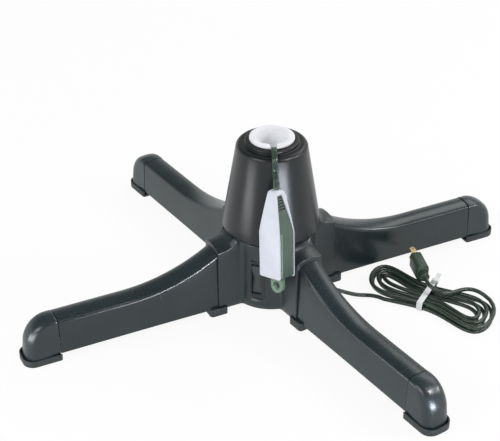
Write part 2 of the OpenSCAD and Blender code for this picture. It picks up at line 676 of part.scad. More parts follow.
// Hank: turns that spiral inwards in the lower layer and out again in the upper one. Each turn is
// drawn in at the waist, where the tie holds it, and its two lobes lean to opposite sides.
hank_at = [183, 28];
hank_az = -12;
hank_start = 240;             // angle at which the first turn leaves the waist
hank_turns = 5.5;
climb_turns = 0.5;
layer_turns = (hank_turns - climb_turns) / 2;
waist_hw = 4.6;               // half the waist of the inner turn, and what the outer turns add
waist_step = 8.6;
end_step = 9.9;
lobe_left = [12.2, 29.6, 14.2];    // fullness of the inner turn, what the outer ones add, and the lean
lobe_right = [23.6, 26, -13.9];
layer_z = [lead_d / 2 + 0.2, lead_d * 1.5 + 1.2];
rings = 24;
function hank_shell(t) = 2 * (t < layer_turns ? 1 - t / layer_turns
    : max(0, t - layer_turns - climb_turns) / layer_turns);
function hank_z(t) = layer_z[0] + (layer_z[1] - layer_z[0])
    * min(1, max(0, (t - layer_turns) / climb_turns));
function hank_point(t) = let(a = hank_start + 360 * t, k = hank_shell(t), c = cos(a),
    lobe = c < 0 ? lobe_left : lobe_right, reach = (c < 0 ? hank_left : hank_right)
    - end_step * (2 - k), w = waist_hw + waist_step * k)
    [reach * c, sin(a) * (w + (lobe[0] + lobe[1] * k / 2) * c * c) + lobe[2] * c * c, hank_z(t)];
hank_n = round(hank_turns * rings) - 2;    // ring at which the tail leaves the outer turn
hank_path = [for (i = [0:hank_n]) hank_point(i / rings), hank_point((hank_n + 0.1) / rings)];
// Least distance between turns: each stretch against all those over a third of a turn further on
function apart(p, q, r) = let(u = r - q, t = min(1, max(0, (p - q) * u / (u * u))))
    norm(p - q - t * u);
hank_gap = min([for (i = [0:hank_n], j = [i + 8:1:hank_n - 1])
    apart(hank_path[i], hank_path[j], hank_path[j + 1])]) - lead_d;
echo(hank_least_gap = hank_gap, hank_length = path_len(hank_path));
module on_hank() { translate([hank_at[0], hank_at[1], 0]) rotate([0, 0, hank_az]) children(); }
function to_floor(p) = [hank_at[0] + p[0] * cos(hank_az) - p[1] * sin(hank_az),
    hank_at[1] + p[0] * sin(hank_az) + p[1] * cos(hank_az), p[2]];
module power_hank() { color("#2f3f34") on_hank() tube(hank_path, 6, lead_d / 2, lead_d / 2); }

// The lead's route from the strain relief to the hank's first turn
lead_end = to_floor(hank_path[0]);
lead_dir = unit(to_floor(hank_path[1]) - lead_end);
lead_route = [[76, 0, 15], [82, 0.4, 14.2], [88, 2.2, 12], [94, 5.4, 8.8], [100, 9.2, 5.6],
    [106, 12.6, 3.4], [112.5, 15, 2.6], [119.5, 16, 2.6], [127, 15.4, 2.6]];
lead_points = concat(lead_route, [lead_end - 5 * lead_dir, lead_end]);
lead_path = spline(lead_points, 4);
module power_lead() { color("#2f3f34") tube(lead_path, 8, lead_d / 2, lead_d / 2); }

// Plug: lies on the hank beside the tie, on its narrow side, its blades to the rear left
plug_hw = 10.8;
plug_at = [-7, 11, layer_z[1] + lead_d / 2 + plug_hw + 0.1];
plug_turn = 128;              // bearing of the plug in the hank's frame
plug_len = 40;
tail_start = hank_path[hank_n + 1];
tail_dir = unit(tail_start - hank_path[hank_n]);
plug_dir = [cos(plug_turn), sin(plug_turn), 0];
tail_route = [[65.2, 24.3, 9.2], [60.2, 26.1, 10.4], [54, 26.9, 11.9], [47.4, 25.9, 13.1],
    [41.5, 23, 13.8], [36.4, 18.7, 14], [32.4, 13.7, 14.2], [29.4, 8.7, 14.6], [26.3, 4.5, 15.1],
    [22.3, 1.2, 15.8], [17.6, -0.8, 16.7], [12.5, -1.4, 17.8], [7.4, -0.7, 19],
    [2.6, 1.2, 20.3], [-1, 3.8, 21.2]];
tail_points = concat([tail_start, tail_start + 3 * tail_dir], tail_route,
    [plug_at - 4 * plug_dir, plug_at]);
tail_path = spline(tail_points, 2);
echo(cord_length = path_len(lead_path) + path_len(hank_path) + path_len(tail_path));
module plug_tail() { color("#2f3f34") on_hank() tube(tail_path, 8, lead_d / 2, lead_d / 2); }
module on_plug() {
    on_hank() translate(plug_at) rotate([0, 0, plug_turn]) rotate([90, 0, 0]) children();
}
module plug_section(hw, ht) {
    r = 4;
    polygon(concat(arc([ht - r, hw - r], r, 0, 90, 4), arc([r - ht, hw - r], r, 90, 180, 4),
        arc([r - ht, r - hw], r, 180, 270, 4), arc([ht - r, r - hw], r, 270, 360, 4)));
}
blade_y = 6.35;
blade_root = 8;
module plug_body() {
    grip = 10;
    color("#35503f") on_plug() difference() {
        union() {
            translate([grip, 0, 0]) rotate([0, 90, 0]) linear_extrude(plug_len - grip)
                plug_section(plug_hw, 7);
            rotate([0, 90, 0]) cylinder(h = grip + 1, r1 = 3.4, r2 = 5.4);
            for (x = [1.5, 4.5, 7.5]) translate([x, 0, 0]) rotate([0, 90, 0])
                cylinder(h = 1.4, r = 5.6);
        }
        for (s = [-1, 1]) translate([plug_len - blade_root, s * blade_y - 0.8, -3.2])
            cube([blade_root + 1, 1.6, 6.4]);
    }
}
module plug_blades() {
    blade_len = 17;
    blade_t = 1.5;
    color("gold") on_plug() for (s = [-1, 1]) translate([plug_len, s * blade_y - blade_t / 2, 0])
        difference() {
            union() {
                translate([-blade_root, 0, -3.15]) cube([blade_root + blade_len - 2, blade_t, 6.3]);
                translate([blade_len - 3, 0, -2.2]) cube([3, blade_t, 4.4]);
            }
            translate([blade_len - 5, -1, 0]) rotate([-90, 0, 0]) cylinder(h = 4, r = 1.55);
        }
}
module hank_tie() {
    w = waist_hw + 2 * waist_step + lead_d / 2 + 0.8;
    z1 = layer_z[1] + lead_d / 2 + 0.4;
    band = 0.8;
    len = 7;
    color("white") on_hank() union() {
        difference() {
            translate([-len / 2, 0, 0]) rotate([90, 0, 90]) linear_extrude(len)
                tie_section(w + band, z1 + band, 0);
            translate([-len / 2 - 1, 0, 0]) rotate([90, 0, 90]) linear_extrude(len + 2)
                tie_section(w, z1, 0.1);
        }
        translate([-2, w - 5, z1 + band - 0.3]) cube([8, 5, 4]);
        translate([0, w - 2, z1 + band]) rotate([24, 0, 0]) cube([5, 12, 1]);
    }
}
module tie_section(w, z1, z0) {
    r = 3;
    polygon(concat(arc([-w + r, z0 + r], r, 180, 270, 3), arc([w - r, z0 + r], r, 270, 360, 3),
        arc([w - r, z1 - r], r, 0, 90, 3), arc([-w + r, z1 - r], r, 90, 180, 3)));
}

// Hanging tap, drawn with its neck at the origin and its length along -Z, white face to -Y
tap_top_r = 60.5;            // distance of the neck from the axis
tap_top_z = 177;
neck_w = 13.5;
neck_t = 13.5;
shoulder_d = 48;
module on_tap() {
    rotate([0, 0, tap_az]) translate([0, -tap_top_r, tap_top_z]) rotate([-tap_lean, 0, 0])
        rotate([0, 0, tap_yaw]) children();
}
// Half the tap's outline: a blunt top, sides that widen down to the shoulder, then straight
function tap_hw(full, neck, t) = neck / 2 + (full - neck) / 2 * (0.8 * t + 0.2 * sin(90 * t));
function tap_half(full, neck, inset) = let(steps = 6, r = 3)
    concat([[neck / 2 - r, -inset], [neck / 2 - inset / 2, -r]],
        [for (i = [1:steps]) let(t = i / steps) [tap_hw(full, neck, t) - inset, -shoulder_d * t]]);
module tap_outline(full, neck, inset, foot_r) {
    h = tap_half(full, neck, inset);
    n = len(h);
    polygon(concat(h,
        arc([full / 2 - inset - foot_r, -tap_len + inset + foot_r], foot_r, 0, -90, 3),
        arc([-full / 2 + inset + foot_r, -tap_len + inset + foot_r], foot_r, 270, 180, 3),
        [for (i = [n - 1:-1:0]) [-h[i][0], h[i][1]]]));
}
// The tap's shape: its face view in common with its side view
module tap_form(inset) {
    intersection() {
        translate([0, tap_w, 0]) rotate([90, 0, 0]) linear_extrude(2 * tap_w)
            tap_outline(tap_w, neck_w, inset, 3);
        translate([-tap_w, 0, 0]) rotate([90, 0, 90]) linear_extrude(2 * tap_w)
            tap_outline(tap_t, neck_t, inset, 1.5);
    }
}
// Half the tap's thickness down its length, as (height, half thickness)
tap_sides = concat([[2, neck_t / 2], [-3, neck_t / 2]],
    [for (i = [1:6]) [-shoulder_d * i / 6, tap_hw(tap_t, neck_t, i / 6)]],
    [[-tap_len - 2, tap_t / 2]]);
// All that lies behind a surface at depth d under the front (side -1) or the back (side 1)
module tap_behind(side, d) {
    translate([-tap_w, 0, 0]) rotate([90, 0, 90]) linear_extrude(2 * tap_w)
        polygon(concat([for (p = tap_sides) [side * (p[1] - d), p[0]]],
            [[2 * tap_t, -tap_len - 2], [2 * tap_t, 2]]));
}
module tap_top(z) { translate([-tap_w, -tap_t, z]) cube([2 * tap_w, 2 * tap_t, 10]); }
front_t = 2.6;                // thickness of the white front cover and of the rear one
rear_t = 2;
top_t = 4.4;                  // depth of the cover that wraps over the top
head_h = 1.2;                 // height of the screws' heads, sunk in the rear cover
function seat_y(z) = tap_hw(tap_t, neck_t, min(1, -z / shoulder_d)) - head_h;
outlet_z = [-50, -78];        // outlets, in the edge that faces the tower
screw_z = [-28, -88];
eye_at = [0, 1, -tap_len - 11];
module tap_core() {
    eye_r = 8.4;
    rib_depth = 1.5;
    color("#4f7a5c") on_tap() difference() {
        union() {
            difference() {
                intersection() {
                    tap_form(0.9);
                    tap_behind(-1, front_t);
                }
                tap_behind(1, rear_t);
                tap_top(-top_t);
            }
            translate(eye_at + [0, 2.5, 0]) rotate([90, 0, 0]) cylinder(h = 5, r = eye_r);
            translate(eye_at + [-eye_r, -2.5, 0]) cube([2 * eye_r, 5, 13]);
            translate([0, 0, -8]) cylinder(h = 11, r = 3.3);
        }
        translate(eye_at + [0, 10, 0]) rotate([90, 0, 0]) cylinder(h = 20, r = 4.7);
        for (z = [-8, -11.2, -14.4, -17.6, -20.8])
            translate([tap_hw(tap_w, neck_w, -z / shoulder_d) - 0.9 - rib_depth, -tap_t, z])
                cube([4, 2 * tap_t, 1.5]);
        for (z = outlet_z, s = [-1, 1]) translate([-tap_w / 2 - 1, 6.35 * s - 0.9 + 0.8, z - 3.6])
            cube([13, 1.8, 7.2]);
        for (z = screw_z) translate([0, seat_y(z) + 1, z]) rotate([90, 0, 0])
            cylinder(h = 9, r = 1);
    }
}
module tap_front_cover() {
    color("#e8eaf0") on_tap() difference() {
        tap_form(0);
        difference() {
            tap_behind(-1, front_t - tiny);
            tap_top(-top_t + tiny);
        }
        translate([0, 0, -10]) cylinder(h = 20, r = 3.3);
    }
}
module tap_rear_cover() {
    color("#e2e4ea") on_tap() difference() {
        intersection() {
            tap_form(0);
            tap_behind(1, rear_t - tiny);
        }
        tap_top(-top_t);
        for (z = screw_z) translate([0, 0, z]) rotate([-90, 0, 0]) cylinder(h = 30, r = 1.6);
        for (z = screw_z) translate([0, seat_y(z), z]) rotate([-90, 0, 0])
            cylinder(h = 30, r = 2.9);
    }
}
module tap_screws() {
    color("silver") on_tap() for (z = screw_z) translate([0, seat_y(z), z])
        rotate([90, 0, 0]) screw(1, 7, 2.6, head_h);
}
module tap_contacts() {
    color("gold") on_tap() for (z = outlet_z, s = [-1, 1])
        translate([-tap_w / 2 + 6, 6.35 * s - 0.9 + 0.9, z - 3]) cube([5, 0.6, 6]);
}

// Cord from the ring's slot over the collar and down the tower to the tap, as (radius, height)
cord_w = 6.4;
cord_t = 3.2;
tap_cord_route = [[17.6, 204.6], [20, 205.6], [22.4, 207.2], [25.4, 208.6], [28.6, 208.8],
    [31.6, 208], [34.2, 206.3], [37, 204.8], [39.8, 203], [42.2, 200.2], [44, 196.6],
    [46, 193], [48.8, 190.4], [52.6, 188.7], [56.2, 186.6]];
tap_up = [-sin(tap_lean), cos(tap_lean)];
cord_end = [tap_top_r, tap_top_z] + 3 * tap_up;
module tap_cord() {
    pts = [for (p = concat(tap_cord_route, [cord_end + 3 * tap_up, cord_end])) [0, -p[0], p[1]]];
    color("#4d6e55") rotate([0, 0, tap_az]) tube(spline(pts, 2), 8, cord_w / 2, cord_t / 2);
}

hub_shell();
base_plate();
base_screws();
root_pads();
tower_shell();
tower_screws();
leg(0);  // leg_front_left
leg(1);  // leg_front_right
leg(2);  // leg_rear_right
leg(3);  // leg_rear_left
end_cap(0);  // end_cap_front_left
end_cap(1);  // end_cap_front_right
end_cap(2);  // end_cap_rear_right
end_cap(3);  // end_cap_rear_left
boot(0);  // boot_front_left
boot(1);  // boot_front_right
boot(2);  // boot_rear_right
boot(3);  // boot_rear_left
leg_bolts();
bearing_plate();
bearing_screws();
lower_bush();
upper_bush();
thrust_washer();
motor_can();
motor_gearbox();
motor_screws();
motor_pinion();
pole_sleeve();
drive_gear();
sleeve_spindle();
slip_ring_carrier();
slip_ring_at(0);  // slip_ring_live
slip_ring_at(1);  // slip_ring_neutral
brush_post();
brush_blocks();
brush_springs();
switch_bezel();
switch_body();
switch_rocker();
cord_strain_relief();
power_lead();
power_hank();
plug_tail();
plug_body();
plug_blades();
hank_tie();
tap_cord();
tap_core();
tap_front_cover();
tap_rear_cover();
tap_contacts();
tap_screws();
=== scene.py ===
"""Looks of a rotating tree stand: four swooping plastic legs on a moulded hub, a conical tower
with a white turning ring, a green mains lead in a tied hank, and a small power tap that hangs
from the ring. Metres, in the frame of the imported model: floor at z = 0, tower on the z axis."""
import math
import bmesh
import bpy
import numpy as np
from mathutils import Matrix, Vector


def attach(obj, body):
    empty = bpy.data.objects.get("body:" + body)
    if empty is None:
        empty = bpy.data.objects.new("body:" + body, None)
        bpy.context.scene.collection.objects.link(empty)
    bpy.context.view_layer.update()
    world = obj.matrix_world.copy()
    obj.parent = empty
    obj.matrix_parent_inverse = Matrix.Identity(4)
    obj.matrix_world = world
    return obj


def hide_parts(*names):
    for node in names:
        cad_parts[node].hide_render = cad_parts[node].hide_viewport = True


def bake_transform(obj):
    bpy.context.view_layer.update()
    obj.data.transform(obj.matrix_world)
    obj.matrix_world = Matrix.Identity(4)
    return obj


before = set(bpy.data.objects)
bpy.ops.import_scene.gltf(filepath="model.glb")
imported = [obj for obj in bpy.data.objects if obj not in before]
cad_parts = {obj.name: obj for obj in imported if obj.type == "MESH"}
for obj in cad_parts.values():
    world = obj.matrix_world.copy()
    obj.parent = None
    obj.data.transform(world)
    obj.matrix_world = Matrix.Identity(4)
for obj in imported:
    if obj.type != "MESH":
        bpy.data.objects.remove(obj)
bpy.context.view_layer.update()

# --- Camera: stands in front, a little to the right, and looks down at the stand from 1.6 m away,
# so that the legs spread over the whole picture, which is 500 pixels wide.
view_turn, view_rise = math.radians(14.776), math.radians(32.574)
aim_height, aim_left, view_distance = 0.0985, 0.0245, 1.601
film_wide, focal_pixels, picture_wide = 36, 1385, 500
away = Vector((math.sin(view_turn) * math.cos(view_rise),
               -math.cos(view_turn) * math.cos(view_rise), math.sin(view_rise)))
aside = Vector((math.cos(view_turn), math.sin(view_turn), 0))
camera = bpy.data.objects.new("camera", bpy.data.cameras.new("camera"))
camera.location = Vector((0, 0, aim_height)) - aim_left * aside + view_distance * away
camera.rotation_mode = "QUATERNION"
camera.rotation_quaternion = away.to_track_quat("Z", "Y")
camera.data.sensor_width = film_wide
camera.data.lens = film_wide * focal_pixels / picture_wide
camera.data.clip_start, camera.data.clip_end = 0.05, 60
bpy.context.scene.collection.objects.link(camera)
bpy.context.scene.camera = camera


# --- Mains lead: a round green PVC lead of 4.8 mm, 2 m from the strain relief to the plug. It
# drops to the floor, runs into a flat hank of five and a half turns in two layers, and climbs to
# the plug.
def skin(name, rows, round_trip=False, ends=False, uv=None):
    """Mesh over a grid of points: quads join each point to the next in its row and in the next
    row. round_trip closes each row on itself, and ends closes the first and last row with a fan
    round their mean point. uv gives each grid point its two surface coordinates."""
    rows = np.asarray(rows, float)
    n, m = rows.shape[:2]
    i, j = np.meshgrid(np.arange(n - 1), np.arange(m if round_trip else m - 1), indexing="ij")
    k = (j + 1) % m
    quads = np.stack([i * m + j, i * m + k, (i + 1) * m + k, (i + 1) * m + j], -1).reshape(-1, 4)
    points = rows.reshape(-1, 3)
    faces = quads.tolist()
    if ends:
        a = np.arange(m if round_trip else m - 1)
        b = (a + 1) % m
        faces += np.stack([b, a, np.full(len(a), n * m)], -1).tolist()
        last = (n - 1) * m
        faces += np.stack([a + last, b + last, np.full(len(a), n * m + 1)], -1).tolist()
        points = np.vstack([points, rows[0].mean(0), rows[-1].mean(0)])
    mesh = bpy.data.meshes.new(name)
    mesh.from_pydata(points, [], faces)
    mesh.polygons.foreach_set("use_smooth", np.ones(len(faces), bool))
    if uv is not None:
        uv = np.vstack([np.asarray(uv, float).reshape(-1, 2), [[0, 0], [0, 0]]])
        corner = np.zeros(len(mesh.loops), np.int64)
        mesh.loops.foreach_get("vertex_index", corner)
        along = mesh.uv_layers.new(name="along")
        along.data.foreach_set("uv", uv[corner].astype(np.float32).ravel())
    piece = bpy.data.objects.new(name, mesh)
    bpy.context.scene.collection.objects.link(piece)
    return piece


def smooth_line(points, steps):
    """Cubic through points whose slope at each is half the step between its neighbours: the
    Catmull-Rom formula, worked out for all stretches at once."""
    p = np.asarray(points, float)
    q = np.vstack([2 * p[0] - p[1], p, 2 * p[-1] - p[-2]])
    a, b, c, d = (q[k:k + len(p) - 1, None] for k in range(4))
    t = (np.arange(steps) / steps)[None, :, None]
    line = 0.5 * (2 * b + (c - a) * t + (2 * a - 5 * b + 4 * c - d) * t ** 2
                  + (3 * b - a - 3 * c + d) * t ** 3)
    return np.vstack([line.reshape(-1, p.shape[1]), p[-1]])


def tube(line, wide, high, sides, groove=0.0):
    """Rings square to a line: p + s * wide * cos(v) + u * high * sin(v), where s is level and
    square to the heading, and u is square to both. groove narrows u in the middle sixth of the
    width, as between the two cores of a twin lead. Returns the rings and their (round, along)
    places."""
    heading = np.gradient(line, axis=0)
    heading /= np.linalg.norm(heading, axis=1)[:, None]
    s = np.cross([0, 0, 1], heading)
    s /= np.linalg.norm(s, axis=1)[:, None]
    u = np.cross(heading, s)
    v = np.arange(sides) * 2 * np.pi / sides
    groove_wide = 0.16
    x = wide * np.cos(v)
    y = high * np.sin(v) * (1 - groove * np.exp(-(np.cos(v) / groove_wide) ** 2))
    rings = line[:, None] + s[:, None] * x[None, :, None] + u[:, None] * y[None, :, None]
    far = np.concatenate([[0], np.cumsum(np.linalg.norm(np.diff(line, axis=0), axis=1))])
    place = np.stack(np.broadcast_arrays(v[None] / (2 * np.pi), far[:, None]), -1)
    return rings, place


lead_d, lead_sides = 0.0048, 14
hank_at, hank_turn = np.array([0.183, 0.028, 0.0]), math.radians(-12)
hank_axes = np.array([[math.cos(hank_turn), math.sin(hank_turn), 0],
                      [-math.sin(hank_turn), math.cos(hank_turn), 0], [0, 0, 1]])
hank_turns, layer, climb, coil_points = 130.1 / 24, 2.5, 0.5, 262
low, high = lead_d / 2 + 0.0002, lead_d * 1.5 + 0.0012
waist, waist_step, reach_step = 4.6, 8.6, 9.9
left_side = {"reach": 79, "lobe": 12.2, "lobe_step": 29.6, "lean": 14.2}
right_side = {"reach": 85, "lobe": 23.6, "lobe_step": 26, "lean": -13.9}


def hank_line(t):
    """Turn t of the hank, at the angle a = 240 degrees + 360 t. k falls from 2 on the outer turn
    to 0 on the inner one and rises again in the upper layer. x = reach cos a, and
    y = sin a (waist + lobe cos^2 a) + lean cos^2 a, with its own lobe and lean on each side."""
    a = np.radians(240 + 360 * t)
    c = np.cos(a)
    k = 2 * np.where(t < layer, 1 - t / layer, np.clip(t - layer - climb, 0, None) / layer)
    reach, lobe, lobe_step, lean = (
        np.where(c < 0, left_side[size], right_side[size]) for size in left_side)
    reach = reach - reach_step * (2 - k)
    y = np.sin(a) * (waist + waist_step * k + (lobe + lobe_step * k / 2) * c * c) + lean * c * c
    z = low + (high - low) * np.clip((t - layer) / climb, 0, 1)
    return np.stack([reach * c / 1000, y / 1000, z], -1)


def on_floor(points):
    """From the hank's own frame to where it lies."""
    return hank_at + np.asarray(points) @ hank_axes


coil = hank_line(np.linspace(0, hank_turns, coil_points))
first, second = hank_line(np.array([0, 1 / 24]))
into_hank = on_floor(second) - on_floor(first)
into_hank /= np.linalg.norm(into_hank)
leaving = (coil[-1] - coil[-2]) / np.linalg.norm(coil[-1] - coil[-2])
run = np.array([[52, 0, 15], [60, 0, 15], [68, 0, 15], [76, 0, 15], [82, 0.4, 14.2], [88, 2.2, 12],
                [94, 5.4, 8.8], [100, 9.2, 5.6], [106, 12.6, 3.4], [112.5, 15, 2.6],
                [119.5, 16, 2.6], [127, 15.4, 2.6]]) / 1000
run = np.vstack([run, on_floor(coil[0]) - 0.005 * into_hank, on_floor(coil[0])])
plug_half, plug_turn = 0.0109, math.radians(128)
plug_at = np.array([-0.007, 0.011, high + lead_d / 2 + plug_half])
plug_way = np.array([math.cos(plug_turn), math.sin(plug_turn), 0])
tail = np.array([[65.2, 24.3, 9.2], [60.2, 26.1, 10.4], [54, 26.9, 11.9], [47.4, 25.9, 13.1],
                 [41.5, 23, 13.8], [36.4, 18.7, 14], [32.4, 13.7, 14.2], [29.4, 8.7, 14.6],
                 [26.3, 4.5, 15.1], [22.3, 1.2, 15.8], [17.6, -0.8, 16.7], [12.5, -1.4, 17.8],
                 [7.4, -0.7, 19], [2.6, 1.2, 20.3], [-1, 3.8, 21.2]]) / 1000
tail = np.vstack([coil[-1], coil[-1] + 0.003 * leaving, tail, plug_at - 0.004 * plug_way,
                  plug_at + 0.004 * plug_way])
lead_line = np.vstack([smooth_line(run, 6)[:-1], on_floor(coil)[:-1],
                       on_floor(smooth_line(tail, 4))])
rings, place = tube(lead_line, lead_d / 2, lead_d / 2, lead_sides)
mains_lead = skin("mains_lead", rings, round_trip=True, ends=True, uv=place)
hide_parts("power_lead", "power_hank", "plug_tail")
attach(mains_lead, "base")


class Wire:
    """A socket in a material's nodes. Sums, differences and products of it are Math nodes."""

    def __init__(self, tree, socket):
        self.tree, self.socket = tree, socket

    def add(self, kind, settings=(), sockets=(), out=0):
        """A node of that kind. Its settings are set first, such as a Math node's operation, and
        then the values or links of its sockets. The wire is its output out."""
        node = self.tree.nodes.new(kind)
        for key, value in dict(settings).items():
            setattr(node, key, value)
        for key, value in dict(sockets).items():
            self.plug(node.inputs[key], value)
        return Wire(self.tree, node.outputs[out])

    def plug(self, socket, value):
        """Links a wire to a socket, or sets the socket's value; a colour gets its alpha."""
        if isinstance(value, Wire):
            self.tree.links.new(value.socket, socket)
        else:
            opaque = socket.type == "RGBA" and len(value) == 3
            socket.default_value = (*value, 1) if opaque else value

    def sum(self, kind, a, b):
        """A Math node of that kind, on a and b."""
        return self.add("ShaderNodeMath", {"operation": kind}, {0: a, 1: b})

    def __add__(self, other): return self.sum("ADD", self, other)
    def __radd__(self, other): return self.sum("ADD", other, self)
    def __sub__(self, other): return self.sum("SUBTRACT", self, other)
    def __rsub__(self, other): return self.sum("SUBTRACT", other, self)
    def __mul__(self, other): return self.sum("MULTIPLY", self, other)
    def __rmul__(self, other): return self.sum("MULTIPLY", other, self)

    def step(self, low, high):
        """0 below low, 1 above high, and smooth between them."""
        return self.add("ShaderNodeMapRange", {"interpolation_type": "SMOOTHSTEP"},
                        {"Value": self, "From Min": low, "From Max": high})

    def tint(self, under, over):
        """The colour under where this wire is 0, over where it is 1, and a mix between."""
        return self.add("ShaderNodeMix", {"data_type": "RGBA"}, {0: self, 6: under, 7: over}, 2)

    def noise(self, size, detail, stretch=(1, 1, 1)):
        """Noise whose lumps are about size metres, drawn out along each axis by stretch."""
        spread = self.add("ShaderNodeMapping", {}, {"Vector": self, "Scale": tuple(
            1 / (size * s) for s in stretch)})
        return self.add("ShaderNodeTexNoise", {"noise_dimensions": "3D"}, {
            "Vector": spread, "Scale": 1.0, "Detail": detail, "Roughness": 0.55})

    def ray(self, kind):
        """1 for rays of that kind, such as "Camera", and 0 for the others."""
        return self.add("ShaderNodeLightPath", out="Is " + kind + " Ray")

    def bump(self, depth, under=None):
        """A normal from this height, in units of depth metres, on top of another bump."""
        sockets = {"Height": self, "Distance": depth, "Strength": 1.0}
        if under is not None:
            sockets["Normal"] = under
        return self.add("ShaderNodeBump", {}, sockets)


def dress(shader, at, **values):
    """Sets the shader's sockets, or links them to what varies over the surface."""
    for key, value in values.items():
        at.plug(shader.inputs[key.replace("_", " ")], value)


def new_finish(name, uv=False, **fixed):
    """A material, its shader, and a wire of its Object coordinates, or of the piece's own UV map.
    fixed are the Principled shader's sockets that are the same all over."""
    material = bpy.data.materials.new(name)
    material.use_nodes = True
    shader = material.node_tree.nodes["Principled BSDF"]
    start = Wire(material.node_tree, None)
    dress(shader, start, **fixed)
    return material, shader, start.add("ShaderNodeTexCoord", out="UV" if uv else "Object")


def linear(red, green, blue):
    """A colour as picked from a screen, 0 to 255, in the shader's linear units: c / 12.92 for the
    darkest tones, and ((c + 0.055) / 1.055)^2.4 above them, with c from 0 to 1."""
    c = np.array([red, green, blue]) / 255
    return tuple(np.where(c <= 0.04045, c / 12.92, ((c + 0.055) / 1.055) ** 2.4).tolist())


def green_cord(name, dark, light, rough=0.24):
    """Extruded PVC: a faint wander of tone along the lead, fine drag lines down its length, dusty
    dull patches, and a skin that is neither matt nor glossy."""
    material, shader, along = new_finish(name, uv=True, IOR=1.5, Specular_IOR_Level=0.5)
    at = along.add("ShaderNodeTexCoord", out="Object")
    wander = along.noise(0.03, 2, stretch=(8, 1, 1))
    drag = along.noise(0.0012, 2, stretch=(24, 60, 1))
    dust = at.noise(0.009, 4).step(0.55, 0.8)
    grain = at.noise(0.0006, 2)
    green = (wander * 0.7 + drag * 0.3).step(0.3, 0.7).tint(dark, light)
    dress(shader, at, Base_Color=(dust * 0.18).tint(green, linear(122, 136, 126)),
          Roughness=rough + drag * 0.12 + dust * 0.16,
          Normal=grain.bump(0.00004, drag.bump(0.00006)))
    return material


mains_lead.data.materials.append(green_cord("lead_pvc", linear(30, 44, 35), linear(50, 68, 55)))


# --- Floor and light: a plain pale floor that keeps the stand's soft shadow, an even white sky,
# and six lamps: broad ones over the left shoulder and behind, two small high ones on the right
# that draw the edges, and two low strips that streak the tower.
def soft_lamp(name, place, target, wide, tall, power, colour=(1, 1, 1), shine_only=False,
              spread=180):
    """A rectangular lamp, wide by tall metres, turned to its target; shine_only: seen in gloss.
    Its light falls off to nothing at half the spread, an angle in degrees."""
    light = bpy.data.lights.new(name, "AREA")
    light.shape, light.size, light.size_y = "RECTANGLE", wide, tall
    light.energy, light.color, light.spread = power, colour, math.radians(spread)
    lamp = bpy.data.objects.new(name, light)
    lamp.visible_camera = False
    lamp.visible_diffuse = not shine_only
    lamp.location = place
    lamp.rotation_mode = "QUATERNION"
    lamp.rotation_quaternion = (Vector(place) - Vector(target)).to_track_quat("Z", "Y")
    bpy.context.scene.collection.objects.link(lamp)


floor_reach, floor_drop, glow_share, mirrored_share = 9, 0.0002, 0.92, 0.75
side, depth = np.meshgrid(*[np.linspace(-floor_reach, floor_reach, 25)] * 2)
floor = skin("floor", np.stack([side, depth, 0 * side - floor_drop], -1))
floor_paint, floor_shader, at = new_finish("pale_floor", Base_Color=(0.93, 0.93, 0.935),
                                           Roughness=0.7)
seen = at.ray("Camera") + at.ray("Glossy") * mirrored_share + at.ray("Transmission")
glow = at.add("ShaderNodeEmission", {}, {"Color": (1, 1, 1), "Strength": 1.0})
paint = Wire(floor_paint.node_tree, floor_shader.outputs[0])
both = at.add("ShaderNodeMixShader", {}, {0: seen.step(0.0, 1.0) * glow_share, 1: paint, 2: glow})
both.plug(floor_paint.node_tree.nodes["Material Output"].inputs["Surface"], both)
floor.data.materials.append(floor_paint)

bpy.context.scene.view_settings.view_transform = "Standard"
sky = bpy.data.worlds.new("soft_sky")
bpy.context.scene.world = sky
sky.use_nodes = True
sky_at = Wire(sky.node_tree, None)
upward = sky_at.add("ShaderNodeSeparateXYZ", {}, {
    0: sky_at.add("ShaderNodeTexCoord", out="Generated")}, "Z")
backdrop = sky.node_tree.nodes["Background"]
sky_at.plug(backdrop.inputs["Color"], (1, 1, 1))
# 0.52 lights the stand. The camera sees 1, and so does gloss at the horizon, but 0.22 overhead.
sky_at.plug(backdrop.inputs["Strength"],
            0.52 + 0.48 * (sky_at.ray("Camera") + sky_at.ray("Transmission"))
            + sky_at.ray("Glossy") * (0.48 - 0.78 * upward.step(0.2, 0.5)))
soft_lamp("key_lamp", (-1.3, -1.9, 1.7), (0, 0, 0.05), wide=1.6, tall=1.2, power=30)
soft_lamp("edge_lamp", (1.22, -0.32, 1.45), (0, 0, 0.05), wide=0.2, tall=0.2, power=15,
          shine_only=True)
soft_lamp("right_lamp", (1.54, 0.33, 1.06), (0, 0, 0.06), wide=0.3, tall=0.25, power=9)
soft_lamp("right_strip", (0.3, -0.335, 0.045), (0.03, -0.027, 0.13), wide=0.22, tall=0.06,
          power=0.27, colour=(0.84, 0.9, 1), shine_only=True, spread=60)
soft_lamp("left_strip", (-0.307, -0.329, 0.045), (-0.03, -0.03, 0.13), wide=0.18, tall=0.06,
          power=0.34, shine_only=True)
soft_lamp("back_lamp", (0.85, 1.95, 2.05), (0, 0, 0.08), wide=2.2, tall=1.0, power=18)


# --- Hub: one charcoal ABS moulding, a drum with four box sockets whose crowned roofs run up to
# the tower's foot in soft hollows. The front wall has the switch's window. Walls are 3 mm.
def at_turn(points, turn):
    """Points turned about the z axis by an angle in degrees."""
    a = math.radians(turn)
    return np.asarray(points, float) @ np.array([[math.cos(a), math.sin(a), 0],
                                                 [-math.sin(a), math.cos(a), 0], [0, 0, 1]])


def arc(centre, radius, start, end, steps):
    """Points on a circle, centre + radius (cos a, sin a), from one angle in degrees to another."""
    a = np.radians(np.linspace(start, end, steps + 1))
    return np.array(centre) + radius * np.stack([np.cos(a), np.sin(a)], -1)


def ease(value, low, high):
    """0 at low, 1 at high, and t^2 (3 - 2t) between."""
    t = np.clip((value - low) / (high - low), 0, 1)
    return t * t * (3 - 2 * t)


